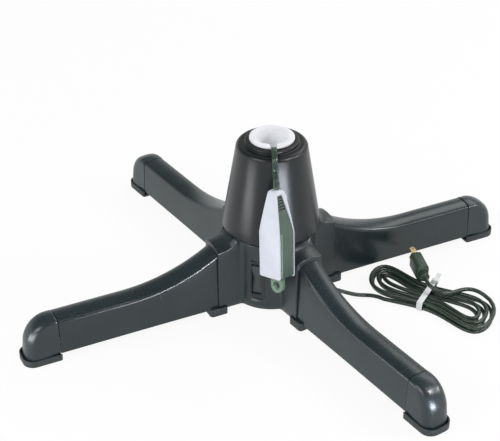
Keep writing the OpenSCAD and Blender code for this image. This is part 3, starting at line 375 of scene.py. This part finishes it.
def finish_mesh(piece, wall=0.0, merge=0.0):
    """Closes doubled points, turns faces outwards, and then gives an open skin its wall."""
    work = bmesh.new()
    work.from_mesh(piece.data)
    if merge:
        bmesh.ops.remove_doubles(work, verts=work.verts, dist=merge)
    bmesh.ops.recalc_face_normals(work, faces=work.faces)
    work.to_mesh(piece.data)
    work.free()
    if wall:
        thick = piece.modifiers.new("wall", "SOLIDIFY")
        thick.thickness, thick.offset = wall, -1
    return piece


leg_turns = (221, 319, 41, 139)
drum_r, socket_w, socket_r, hollow_r, end_r, end_share = 49.0, 17.8, 76.0, 5.0, 1.2, 0.45
drum_top, socket_top, socket_fall, socket_from, socket_run, crown = 92.5, 93.2, 5.2, 50, 26, 3
tower_r, tower_foot, fillet_r, deck_r, edge = 56.6, 97.8, 9, 44.0, 1.9
hub_foot, low_edge, roof_in, roof_out = 7.0, 0.4, 19, 27
window_x, window_z = (-12.2, 5.2), (19.5, 70.5)
hollow_x = math.sqrt((drum_r + hollow_r) ** 2 - (socket_w + hollow_r) ** 2)
hollow_turn = math.degrees(math.atan2(socket_w + hollow_r, hollow_x))
hollow = arc((hollow_x, -socket_w - hollow_r), hollow_r, 180 - hollow_turn, 90, 7)
corner = arc((socket_r - end_r, -socket_w + end_r), end_r, -90, 0, 4)
# Half of a socket's outline, each row with its x and y, the way out from the wall there, and the
# share of the rounded top edge that it has.
half = np.vstack([
    np.column_stack([hollow, ((hollow_x, -socket_w - hollow_r) - hollow) / hollow_r,
                     np.ones(len(hollow))]),
    [[x, -socket_w, 0, -1, 1] for x in np.linspace(hollow_x + 2, socket_r - 3, 10)],
    np.column_stack([corner, np.tile([end_share, -1], (len(corner), 1)),
                     np.linspace(1, end_share, len(corner))]),
    [[socket_r, y, end_share, 0, end_share] for y in np.linspace(-14, -2, 6)]])
half = np.vstack([half, half[::-1] * [1, -1, 1, -1, 1]])
window_turns = [270 + math.degrees(math.asin(x / drum_r)) for x in window_x]
# The plan goes once round the hub: a socket's outline, and then the drum's arc to the next one,
# which has points at the window's edges where the window is in it.
plan = []
for leg, turn in enumerate(leg_turns):
    begin, stop = turn + hollow_turn, leg_turns[(leg + 1) % 4] - hollow_turn
    stop += 360 * (stop < begin)
    stations = [begin] + (window_turns if leg == 0 else []) + [stop]
    rim = np.radians(np.concatenate([np.linspace(a, b, 9)[:-1] for a, b in zip(
        stations[:-1], stations[1:])])[1:])
    round_drum = np.stack([np.cos(rim), np.sin(rim)], -1)
    places, ways = (at_turn(np.hstack([half[:, k:k + 2], np.zeros((len(half), 1))]), turn)[:, :2]
                    for k in (0, 2))
    plan += [np.hstack([places, ways, half[:, 4:]])]
    plan += [np.hstack([drum_r * round_drum, round_drum, np.ones((len(rim), 1))])]
plan, push, edge_share = np.split(np.vstack(plan), [2, 4], axis=1)
edge_share = edge_share[:, 0]


def roof(p):
    """Height of the hub's top at plan points: the drum's top, and over each socket a roof that
    falls by 1 in 5 outwards, drops crown (v / socket_w)^2 across, and rises to the tower's foot
    as a quarter circle would. Beside the socket the roof eases into the drum's top between
    roof_in and roof_out from its middle line."""
    x, y = p[..., 0], p[..., 1]
    past_tower = np.clip(np.hypot(x, y) - tower_r, 0, fillet_r)
    rise = fillet_r - np.sqrt(np.clip(fillet_r ** 2 - (fillet_r - past_tower) ** 2, 0, None))
    height = np.full(x.shape, drum_top)
    for turn in leg_turns:
        a = math.radians(turn)
        u, v = x * math.cos(a) + y * math.sin(a), -x * math.sin(a) + y * math.cos(a)
        slope = (socket_top - socket_fall * np.clip((u - socket_from) / socket_run, -0.3, 1.1)
                 - crown * np.clip(v / socket_w, -1.3, 1.3) ** 2)
        top = np.minimum(slope + rise, tower_foot)
        height = height + (u > 0) * ease(np.abs(v), roof_out, roof_in) * (top - height)
    return height


# Rows from the foot up: the chamfered lower edge, the wall with the window's edges, the rounded
# top edge, and then the top inwards to the deck under the tower.
rows = [np.column_stack([plan - low_edge * push, np.full(len(plan), hub_foot)])]
rows += [np.column_stack([plan, np.full(len(plan), z)])
         for z in (hub_foot + low_edge, 13, window_z[0], 32, 45, 58, window_z[1], 76, 80)]
for a in np.radians([0, 18, 36, 54, 72, 90]):
    spot = plan - edge * (1 - math.cos(a)) * push
    rows.append(np.column_stack([spot, roof(spot) - edge * edge_share * (1 - math.sin(a))]))
rim_spot = rows[-1][:, :2]
inner = rim_spot * (deck_r / np.linalg.norm(rim_spot, axis=1))[:, None]
for share in (0.06, 0.14, 0.24, 0.36, 0.5, 0.65, 0.8, 1):
    spot = rim_spot + (inner - rim_spot) * share
    rows.append(np.column_stack([spot, roof(spot)]))
hub = skin("hub_moulding", np.array(rows) / 1000, round_trip=True)
x, y, z = np.array([p.center for p in hub.data.polygons]).T * 1000
window = (x > window_x[0]) & (x < window_x[1]) & (y < -40) & (z > window_z[0]) & (z < window_z[1])
cut = bmesh.new()
cut.from_mesh(hub.data)
cut.faces.ensure_lookup_table()
bmesh.ops.delete(cut, geom=[cut.faces[k] for k in np.flatnonzero(window)], context="FACES")
cut.to_mesh(hub.data)
cut.free()
finish_mesh(hub, wall=0.003)


def charcoal(name, dark, light, rough, coat=0.0, shine=0.5):
    """Moulded ABS: tone that drifts slowly, a fine spark-eroded grain, the faint waviness of
    cooled plastic, hairline scuffs, and dust that lies on what faces up."""
    material, shader, at = new_finish(name, IOR=1.53, Specular_IOR_Level=shine, Coat_Weight=coat)
    drift, grain, waves = at.noise(0.05, 3), at.noise(0.0008, 2), at.noise(0.02, 2)
    hairlines = at.noise(0.0022, 2, stretch=(14, 1, 9)).step(0.7, 0.76)
    scuff = hairlines * at.noise(0.03, 2).step(0.52, 0.64)
    upward = at.add("ShaderNodeSeparateXYZ", {}, {
        0: at.add("ShaderNodeNewGeometry", out="Normal")}, "Z")
    dust = upward.step(0.3, 0.9) * at.noise(0.0011, 3).step(0.55, 0.7)
    tone = (drift * 0.7 + grain * 0.3).step(0.3, 0.7).tint(dark, light)
    dress(shader, at, Base_Color=(dust * 0.06 + scuff * 0.04).tint(tone, linear(150, 150, 140)),
          Roughness=rough + drift * 0.05 + dust * 0.14 + scuff * 0.1,
          Normal=grain.bump(0.00004, waves.bump(0.00006)))
    return material


hub.data.materials.append(charcoal("hub_abs", linear(26, 38, 41), linear(34, 48, 52), 0.29))
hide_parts("hub_shell")
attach(hub, "base")


# --- Parts that keep their moulded or turned solid: the base plate with its vents, pads, screws,
# bushes, gears, motor and slip rings. Each gets its own finish and smooth shading, and the pads
# soft edges.
def keep(names, material, soften=0.0, angle=38):
    """Gives solids that stay their material. Welds the loose triangles, rounds edges sharper than
    the angle by soften metres, and shades each face smoothly up to those edges."""
    for name in names:
        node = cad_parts[name]
        node.data.materials.clear()
        node.data.materials.append(material)
        node.data.polygons.foreach_set("use_smooth", np.ones(len(node.data.polygons), bool))
        weld = node.modifiers.new("weld", "WELD")
        weld.merge_threshold = 0.000005
        if soften:
            round_off = node.modifiers.new("soft_edges", "BEVEL")
            round_off.width, round_off.segments = soften, 2
            round_off.limit_method, round_off.angle_limit = "ANGLE", math.radians(angle)
        split = node.modifiers.new("edges", "EDGE_SPLIT")
        split.split_angle = math.radians(angle)


def metal(name, colour, rough, brush, size=0.0006):
    """Bare metal: fine lines drawn out along x by brush, stains that dull it, tiny pits."""
    material, shader, at = new_finish(name, Metallic=1.0)
    lines = at.noise(size, 3, stretch=(brush, 1, 1))
    stain = at.noise(0.006, 4).step(0.45, 0.75)
    dark = tuple(c * 0.72 for c in colour)
    dress(shader, at, Base_Color=(lines * 0.6 + stain * 0.4).step(0.25, 0.75).tint(colour, dark),
          Roughness=rough + lines * 0.12 + stain * 0.16, Normal=lines.bump(0.00002))
    return material


def satin(name, dark, light, rough=0.5, grain=0.0007, depth=0.00004):
    """Plain moulded plastic or rubber: mottled tone, an even grain, dull rubbed spots."""
    material, shader, at = new_finish(name, IOR=1.5)
    mottle, fine, rub = at.noise(0.02, 3), at.noise(grain, 3), at.noise(0.009, 4).step(0.5, 0.75)
    dress(shader, at, Base_Color=(mottle * 0.6 + fine * 0.4).step(0.3, 0.7).tint(dark, light),
          Roughness=rough + fine * 0.1 - rub * 0.08, Normal=fine.bump(depth))
    return material


plate_finish = satin("plate_plastic", linear(24, 27, 28), linear(34, 37, 38))
rubber_finish = satin("foot_rubber", linear(42, 49, 51), linear(53, 60, 63), grain=0.0009,
                      depth=0.00006)
steel_finish = metal("bright_steel", (0.62, 0.63, 0.65), 0.24, 10)
zinc_finish = metal("zinc_coat", (0.48, 0.49, 0.5), 0.38, 1, 0.003)
bronze_finish = metal("bronze", (0.62, 0.43, 0.25), 0.34, 2, 0.0004)
brass_finish = metal("brass", (0.8, 0.58, 0.27), 0.22, 12)
acetal_finish = satin("acetal", linear(214, 208, 190), linear(232, 227, 212), 0.38)
carbon_finish = satin("carbon", linear(40, 37, 35), linear(58, 54, 50), 0.55, 0.0004)
keep(["base_plate", "slip_ring_carrier", "brush_post"], plate_finish)
keep(["root_pads"], rubber_finish, 0.0006)
keep(["base_screws", "tower_screws", "leg_bolts", "bearing_screws", "motor_screws", "motor_pinion",
      "sleeve_spindle", "bearing_plate", "motor_gearbox", "tap_screws"], steel_finish)
keep(["motor_can"], zinc_finish)
keep(["lower_bush", "brush_springs"], bronze_finish)
keep(["slip_ring_live", "slip_ring_neutral", "plug_blades", "tap_contacts"], brass_finish)
keep(["drive_gear", "upper_bush", "thrust_washer"], acetal_finish)
keep(["brush_blocks"], carbon_finish)


# --- Tower: a conical charcoal shell, 2.6 mm thick, moulded in one with its rounded foot and
# shoulder and with the low collar that the white ring turns above. Four screws hold it down.
def turned(name, profile, sides):
    """A closed profile of (radius, height) points carried round the z axis."""
    a = (np.arange(sides) * 2 * np.pi / sides)[:, None]
    r, z = np.asarray(profile, float).T / 1000
    rows = np.stack([np.cos(a) * r, np.sin(a) * r, np.ones((sides, 1)) * z], -1)
    rows = np.concatenate([rows, rows[:1]])
    piece = skin(name, np.concatenate([rows, rows[:, :1]], 1))
    return finish_mesh(piece, merge=1e-6)


cone_foot_r, cone_foot_z, shoulder_r, shoulder_z = 56.8, 98, 40.8, 202.5
slope = math.degrees(math.atan2(cone_foot_r - shoulder_r, shoulder_z - cone_foot_z))
low_end = arc((54.2, 100.4), 2.4, -90, slope, 6)
high_end = arc((35.8, 197.5), 5, slope, 90, 9)
up_side = low_end[-1] + (high_end[0] - low_end[-1]) * np.linspace(0, 1, 9)[1:-1, None]
tower = turned("tower_cone", np.vstack([
    [[50, 98.05]], low_end, up_side, high_end, [[33, shoulder_z]],
    arc((31.3, 203.3), 0.8, -90, -180, 3), [[30.5, 205.4]], arc((29.4, 205.6), 1.1, 0, 90, 4),
    [[24.3, 206.7], [24.3, 186.1], [26.6, 186.1], [26.6, 199.9], [35.4, 199.9], [51.6, 101.1],
     [50, 101.1]]]), 160)
tower.data.materials.append(charcoal("tower_abs", linear(21, 26, 28), linear(28, 34, 37), 0.27,
                                     shine=0.36))
split = tower.modifiers.new("edges", "EDGE_SPLIT")
split.split_angle = math.radians(40)
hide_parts("tower_shell")
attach(tower, "base")


# --- Legs: four hollow charcoal ABS channels, open below, that swoop down from the sockets and run
# level to the feet. A tongue at the root is bolted into the hub's socket.
corners = ("front_left", "front_right", "rear_right", "rear_left")
leg_finish = charcoal("leg_abs", linear(25, 38, 41), linear(33, 48, 52), 0.22)
keep(["leg_" + corner_name for corner_name in corners], leg_finish, angle=32)


# --- End caps: glossier ABS shells with a round nose, pushed on the legs' ends by a spigot. Their
# edges grow from 5 mm beside the seam, which stays open by 0.6 mm, to 11 mm at the nose.
def cap_skin(name, turn):
    """The cap's outside. The middle line runs from the seam over the top, round the nose's arc
    and down the end. Square to it, each section is a wide arc of radius crown that meets two
    edge arcs of radius edge, and flat sides then run on to the lower rim, where the cap is
    wider by its draft."""
    top, nose, end, seam, low, draft = 52.3, 30.0, 308.3, 268.3, 3.2, math.radians(2)
    seam_gap, seam_sink, sections_at_seam, rows_in_wall, draft_top = 0.6, 0.25, 3, 5, 52
    bend = np.array([end - nose - 3, top - nose])
    over = [[seam + seam_gap, top], [seam + 0.9, top], [seam + 3, top]]
    down = np.stack([np.linspace(bend[0] + nose + 0.4, end - 0.5, 6),
                     np.linspace(bend[1] - 3, low, 6)], -1)
    line = np.vstack([over, arc(bend, nose, 90, 4, 15), down])
    along = np.gradient(line, axis=0)
    along /= np.linalg.norm(along, axis=1)[:, None]
    inward = np.stack([along[:, 1], -along[:, 0]], -1)
    share = ease(np.arange(len(line)), 2, 15)[:, None]
    edge, crown, half = 5 + 6 * share, 40 + 10 * share, 14.3 + 0.5 * share
    lean = np.arcsin((half - edge) / (crown - edge))
    corner = lean + (math.pi / 2 - lean) * np.linspace(1, 0, 6)[None]
    roof_lean = lean * np.linspace(0.75, 0, 4)[None]
    off = crown - np.sqrt((crown - edge) ** 2 - (half - edge) ** 2)
    across = np.hstack([half - edge + edge * np.sin(corner), crown * np.sin(roof_lean)])
    depth = np.hstack([off - edge * np.cos(corner), crown - crown * np.cos(roof_lean)])
    depth[0] += seam_sink
    spot = line[:, None] + inward[:, None] * depth[..., None]
    foot_x = np.minimum(line[:, 0], np.linspace(seam, spot[-1, 0, 0], len(line)))
    foot_x[:sections_at_seam] = line[:sections_at_seam, 0]
    foot = np.stack([foot_x, np.full(len(line), low)], -1)
    rise = np.linspace(0, 1, rows_in_wall + 1)[None, :-1, None]
    wall = foot[:, None] + (spot[:, :1] - foot[:, None]) * rise
    spot = np.concatenate([wall, spot], 1)
    across = np.hstack([np.repeat(across[:, :1], rows_in_wall, 1), across])
    across = across + (draft_top - spot[..., 1]) * math.tan(draft) * ease(
        np.arange(across.shape[1]), 2 * rows_in_wall, rows_in_wall)[None]
    half_skin = np.stack([spot[..., 0], -across, spot[..., 1]], -1)
    rows = np.concatenate([half_skin, (half_skin * [1, -1, 1])[:, -2::-1]], 1) / 1000
    return finish_mesh(skin(name, at_turn(rows, turn)), wall=0.0022, merge=1e-6)


cap_finish = charcoal("cap_abs", linear(28, 41, 45), linear(36, 51, 56), 0.28, coat=0.06)
for turn, corner_name in zip(leg_turns, corners):
    cap = cap_skin("cap_" + corner_name, turn)
    cap.data.materials.append(cap_finish)
    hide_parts("end_cap_" + corner_name)
    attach(cap, "base")


# --- Boots: soft dark grey rubber shoes under the caps. Each is moulded with a low rim, is pushed
# on from below, and keeps its foot from sliding.
keep(["boot_" + corner_name for corner_name in corners], rubber_finish, 0.0006)


# --- Rocker switch: a dark nylon frame that snaps into the drum's front window, with the contact
# block behind it and a two-lobed rocker of glossier plastic that tips on a pin.
frame_finish = satin("frame_nylon", linear(24, 27, 28), linear(33, 37, 38), 0.4)
# Painted light: the rocker's colour is about twice as light as the frame's, standing in for the
# light its tilted upper half catches.
rocker_painted_light_finish = satin("rocker_plastic", linear(48, 57, 61), linear(60, 70, 74), 0.34)
keep(["switch_bezel", "switch_body"], frame_finish, 0.0004)
keep(["switch_rocker"], rocker_painted_light_finish, 0.0006)


# --- Pole sleeve: a white polypropylene tube that turns on the spindle and takes the tree's pole.
# Its rolled ring stands above the collar, with a funnel mouth and a notch for the tap's cord.
sleeve_finish = satin("white_polypropylene", linear(236, 238, 242), linear(246, 247, 250), 0.3,
                      grain=0.0012, depth=0.00002)
keep(["pole_sleeve"], sleeve_finish, angle=30)


# --- Tap: a hanging outlet block. A green PVC core with grooves, a raised bead and an eye is held
# between a white ABS front cover, which wraps over the blunt top, and a thinner white rear cover,
# fixed with two screws.
tap_turn, twist, lean, neck_r, neck_z = 18.6, math.radians(-47), math.radians(-15), 60.5, 177
neck_half, wide_half, thick_half, taper = 6.75, 16, 12.5, 48
top_round, foot_round, foot_z = 3.2, 2.6, 97.4
# The joints of the covers, lip and bead, in mm of the tap's own frame. Its front looks along -y.
front_joint, lip_edge, bead_edge, rear_joint = -11.7, -9.9, -8.5, 10.5
top_joint, bead_top = -4.4, -46
rear_lean_z, rear_lean_down, rear_lean_out = -44, 39.6, 5


def on_tap(p):
    """From the tap's own frame, neck at 0 and length along -z, to where it hangs."""
    p = np.asarray(p, float)
    x = p[..., 0] * math.cos(twist) - p[..., 1] * math.sin(twist)
    y = p[..., 0] * math.sin(twist) + p[..., 1] * math.cos(twist)
    z = p[..., 2]
    y, z = y * math.cos(lean) - z * math.sin(lean), y * math.sin(lean) + z * math.cos(lean)
    return at_turn(np.stack([x, y - neck_r, z + neck_z], -1), tap_turn) / 1000


def tap_growth(z):
    """0 at the neck and 1 where the taper ends, and 0.8 t + 0.2 sin 90 t between."""
    t = np.clip(-z / taper, 0, 1)
    return 0.8 * t + 0.2 * np.sin(t * math.pi / 2)


def tap_rows():
    """Outside of the tap: rounded rectangles down its length. Its half width and half thickness
    grow down the taper, and both are drawn in along a quarter circle at the top and the foot."""
    over_top = -top_round + top_round * np.cos(np.radians(np.linspace(0, 90, 7)))
    round_foot = -foot_z - foot_round * np.sin(np.radians(np.linspace(10, 90, 6)))
    z = np.concatenate([over_top, [top_joint], np.linspace(-6, -taper, 11),
                        np.linspace(-54, -97, 8), round_foot])
    grown = tap_growth(z)
    from_top = (top_round + np.minimum(z, 0)).clip(0)
    at_top = top_round - np.sqrt(np.clip(top_round ** 2 - from_top ** 2, 0, None))
    at_foot = foot_round - np.sqrt(np.clip(foot_round ** 2 - (-z - foot_z).clip(0) ** 2, 0, None))
    drawn = (at_top + at_foot)[:, None]
    wide = (neck_half + (wide_half - neck_half) * grown)[:, None] - drawn
    thick = (neck_half + (thick_half - neck_half) * grown)[:, None] - drawn
    r = np.minimum(2.2, thick - 0.4)
    a = np.radians(np.linspace(0, 90, 6))[None]
    c, s, cx, cy = r * np.cos(a), r * np.sin(a), wide - r, thick - r
    x = np.hstack([cx + c, -cx - s, -cx - c, cx + s])
    y = np.hstack([cy + s, cy + c, -cy - s, -cy - c])
    return np.stack([x, y, np.repeat(z[:, None], x.shape[1], 1)], -1)


def tap_cover(name, wall, keep_face, proud=0.0):
    """Cuts the tap's outside at the covers' joints, keeps one cover's faces, and gives them a
    wall. For the cut the taper is pushed out to full thickness, so that the joints are planes.
    proud moves the two flanks out."""
    rows, spread = tap_rows(), thick_half - neck_half
    rows[..., 0] += np.sign(rows[..., 0]) * proud
    rows[..., 1] += np.sign(rows[..., 1]) * spread * (1 - tap_growth(rows[..., 2]))
    piece = skin(name, rows, round_trip=True, ends=True)
    work = bmesh.new()
    work.from_mesh(piece.data)
    upright = [((0, y, 0), (0, 1, 0)) for y in (front_joint, lip_edge, bead_edge, rear_joint)]
    leaning = [((0, rear_joint, rear_lean_z), (0, rear_lean_down, rear_lean_out))]
    level = [((0, 0, z), (0, 0, 1)) for z in (top_joint, bead_top)]
    for place, square in upright + leaning + level:
        bmesh.ops.bisect_plane(work, geom=work.verts[:] + work.edges[:] + work.faces[:],
                               plane_co=place, plane_no=square, dist=1e-4)
    gone = [face for face in work.faces if not keep_face(face.calc_center_median())]
    bmesh.ops.delete(work, geom=gone, context="FACES")
    bmesh.ops.recalc_face_normals(work, faces=work.faces)
    work.to_mesh(piece.data)
    work.free()
    points = np.empty(len(piece.data.vertices) * 3)
    piece.data.vertices.foreach_get("co", points)
    points = points.reshape(-1, 3)
    points[:, 1] -= np.sign(points[:, 1]) * spread * (1 - tap_growth(points[:, 2]))
    piece.data.vertices.foreach_set("co", on_tap(points).ravel())
    thick = piece.modifiers.new("wall", "SOLIDIFY")
    thick.thickness, thick.offset = wall, -1
    soft = piece.modifiers.new("soft_edges", "BEVEL")
    soft.width, soft.segments = 0.0003, 2
    soft.limit_method, soft.angle_limit = "ANGLE", math.radians(50)
    return piece


def behind_rear_joint(c):
    """The rear joint leans forward above its bend, by rear_lean_out in rear_lean_down."""
    run = rear_lean_down / rear_lean_out
    return c.y > min(rear_joint, rear_joint - (c.z - rear_lean_z) / run) and c.z < top_joint


cover_finish = satin("cover_abs", linear(214, 218, 230), linear(226, 230, 240), 0.34,
                     grain=0.0009, depth=0.00002)
front_cover = tap_cover("tap_front", 0.0018, lambda c: c.y < front_joint or c.z > top_joint)
rear_cover = tap_cover("tap_rear", 0.0016, behind_rear_joint, 0.2)
core_lip = tap_cover("tap_core_lip", 0.0018,
                     lambda c: front_joint < c.y < lip_edge and c.z < top_joint)
core_bead = tap_cover("tap_core_bead", 0.0012,
                      lambda c: lip_edge < c.y < bead_edge and -foot_z < c.z < bead_top, 0.35)
for cover, node in ((front_cover, "tap_front_cover"), (rear_cover, "tap_rear_cover")):
    cover.data.materials.append(cover_finish)
    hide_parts(node)
    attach(cover, "base")


def ribbed_green():
    """The core's satin PVC, with painted shade darkening the five grooves, which lie a pitch apart
    from the first, and a painted highlight that makes the eye lighter. How many mm below the neck
    a point lies is its place along the tap's axis."""
    first_groove, pitch, grooves_from, grooves_to, eye_from = 7.25, 3.2, 6.2, 21, 101
    material = satin("green_pvc", linear(72, 94, 80), linear(86, 108, 94), 0.36, grain=0.0008,
                     depth=0.00003)
    neck, below = on_tap([0, 0, 0]), on_tap([0, 0, -1])
    axis = (below - neck) * 1000
    shader = material.node_tree.nodes["Principled BSDF"]
    green = Wire(material.node_tree, shader.inputs["Base Color"].links[0].from_socket)
    along = green.add("ShaderNodeVectorMath", {"operation": "DOT_PRODUCT"}, {
        0: green.add("ShaderNodeTexCoord", out="Object"), 1: tuple(axis)}, "Value")
    down = along * 1000 - float(neck @ axis) * 1000
    beat = down.add("ShaderNodeMath", {"operation": "COSINE"}, {
        0: (down - first_groove) * (2 * math.pi / pitch)})
    grooves = beat.step(-0.1, 0.3) * down.step(grooves_from, grooves_from + 0.3) * (
        1 - down.step(grooves_to, grooves_to + 0.3))
    # Painted shade: the grooves' green is darkened towards near black, standing in for the shade
    # in them.
    groove_painted_shade = (grooves * 0.92).tint(green, linear(14, 20, 17))
    # Painted highlight: the eye's green is lightened halfway to pale green, standing in for the
    # light on its ring.
    eye_painted_highlight = (down.step(eye_from, eye_from + 4) * 0.5).tint(groove_painted_shade, linear(150, 176, 158))
    dress(shader, down, Base_Color=eye_painted_highlight)
    return material


core_finish = ribbed_green()
keep(["tap_core"], core_finish, 0.0004)
core_lip.data.materials.append(core_finish)
# Painted highlight: the bead's green is much lighter than the core's, standing in for the light
# line along its edge.
core_bead.data.materials.append(
    satin("bead_painted_highlight_green", linear(128, 152, 135), linear(146, 170, 152), 0.3))
for rim in (core_lip, core_bead):
    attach(rim, "base")


# --- Tap cord: a flat green twin lead, 6.4 by 3.2 mm, that leaves the sleeve's notch, bends over
# the collar and runs down the tower into the tap's neck.
drop = np.array([[17.6, 204.6], [20, 205.6], [22.4, 207.2], [25.4, 208.6], [28.6, 208.8],
                 [31.6, 208], [34.2, 206.3], [37, 204.8], [39.8, 203], [42.2, 200.2], [44, 196.6],
                 [46, 193], [48.8, 190.4], [52.6, 188.7], [56.2, 186.6], [58.947, 182.796],
                 [59.724, 179.898]])
out, up = drop.T
# Six steps lie between two of these points, so step 12 is the third, where the cord is clear of
# the notch, and step 18 the fourth.
cord_way = at_turn(smooth_line(np.stack([0 * out, -out, up], -1), 6) / 1000, tap_turn)
rings, place = tube(cord_way, wide=0.0032, high=0.0017, sides=28, groove=0.6)
tap_cord = skin("tap_lead", rings, round_trip=True, ends=True, uv=place)
tap_cord.data.materials.append(
    green_cord("tap_lead_pvc", linear(40, 62, 48), linear(58, 84, 66), rough=0.1))
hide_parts("tap_cord")
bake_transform(tap_cord)


# --- Plug, strain relief and tie: the plug and the ribbed relief are green PVC moulded round the
# lead, and the hank is held by a white plastic band twisted shut on top.
plug_finish = satin("plug_pvc", linear(44, 66, 53), linear(60, 84, 68), 0.42)
keep(["plug_body"], plug_finish, 0.0007)
keep(["cord_strain_relief"], plug_finish, 0.0004)
keep(["hank_tie"], satin("tie_film", linear(226, 229, 230), linear(240, 242, 243), 0.45), 0.0003)
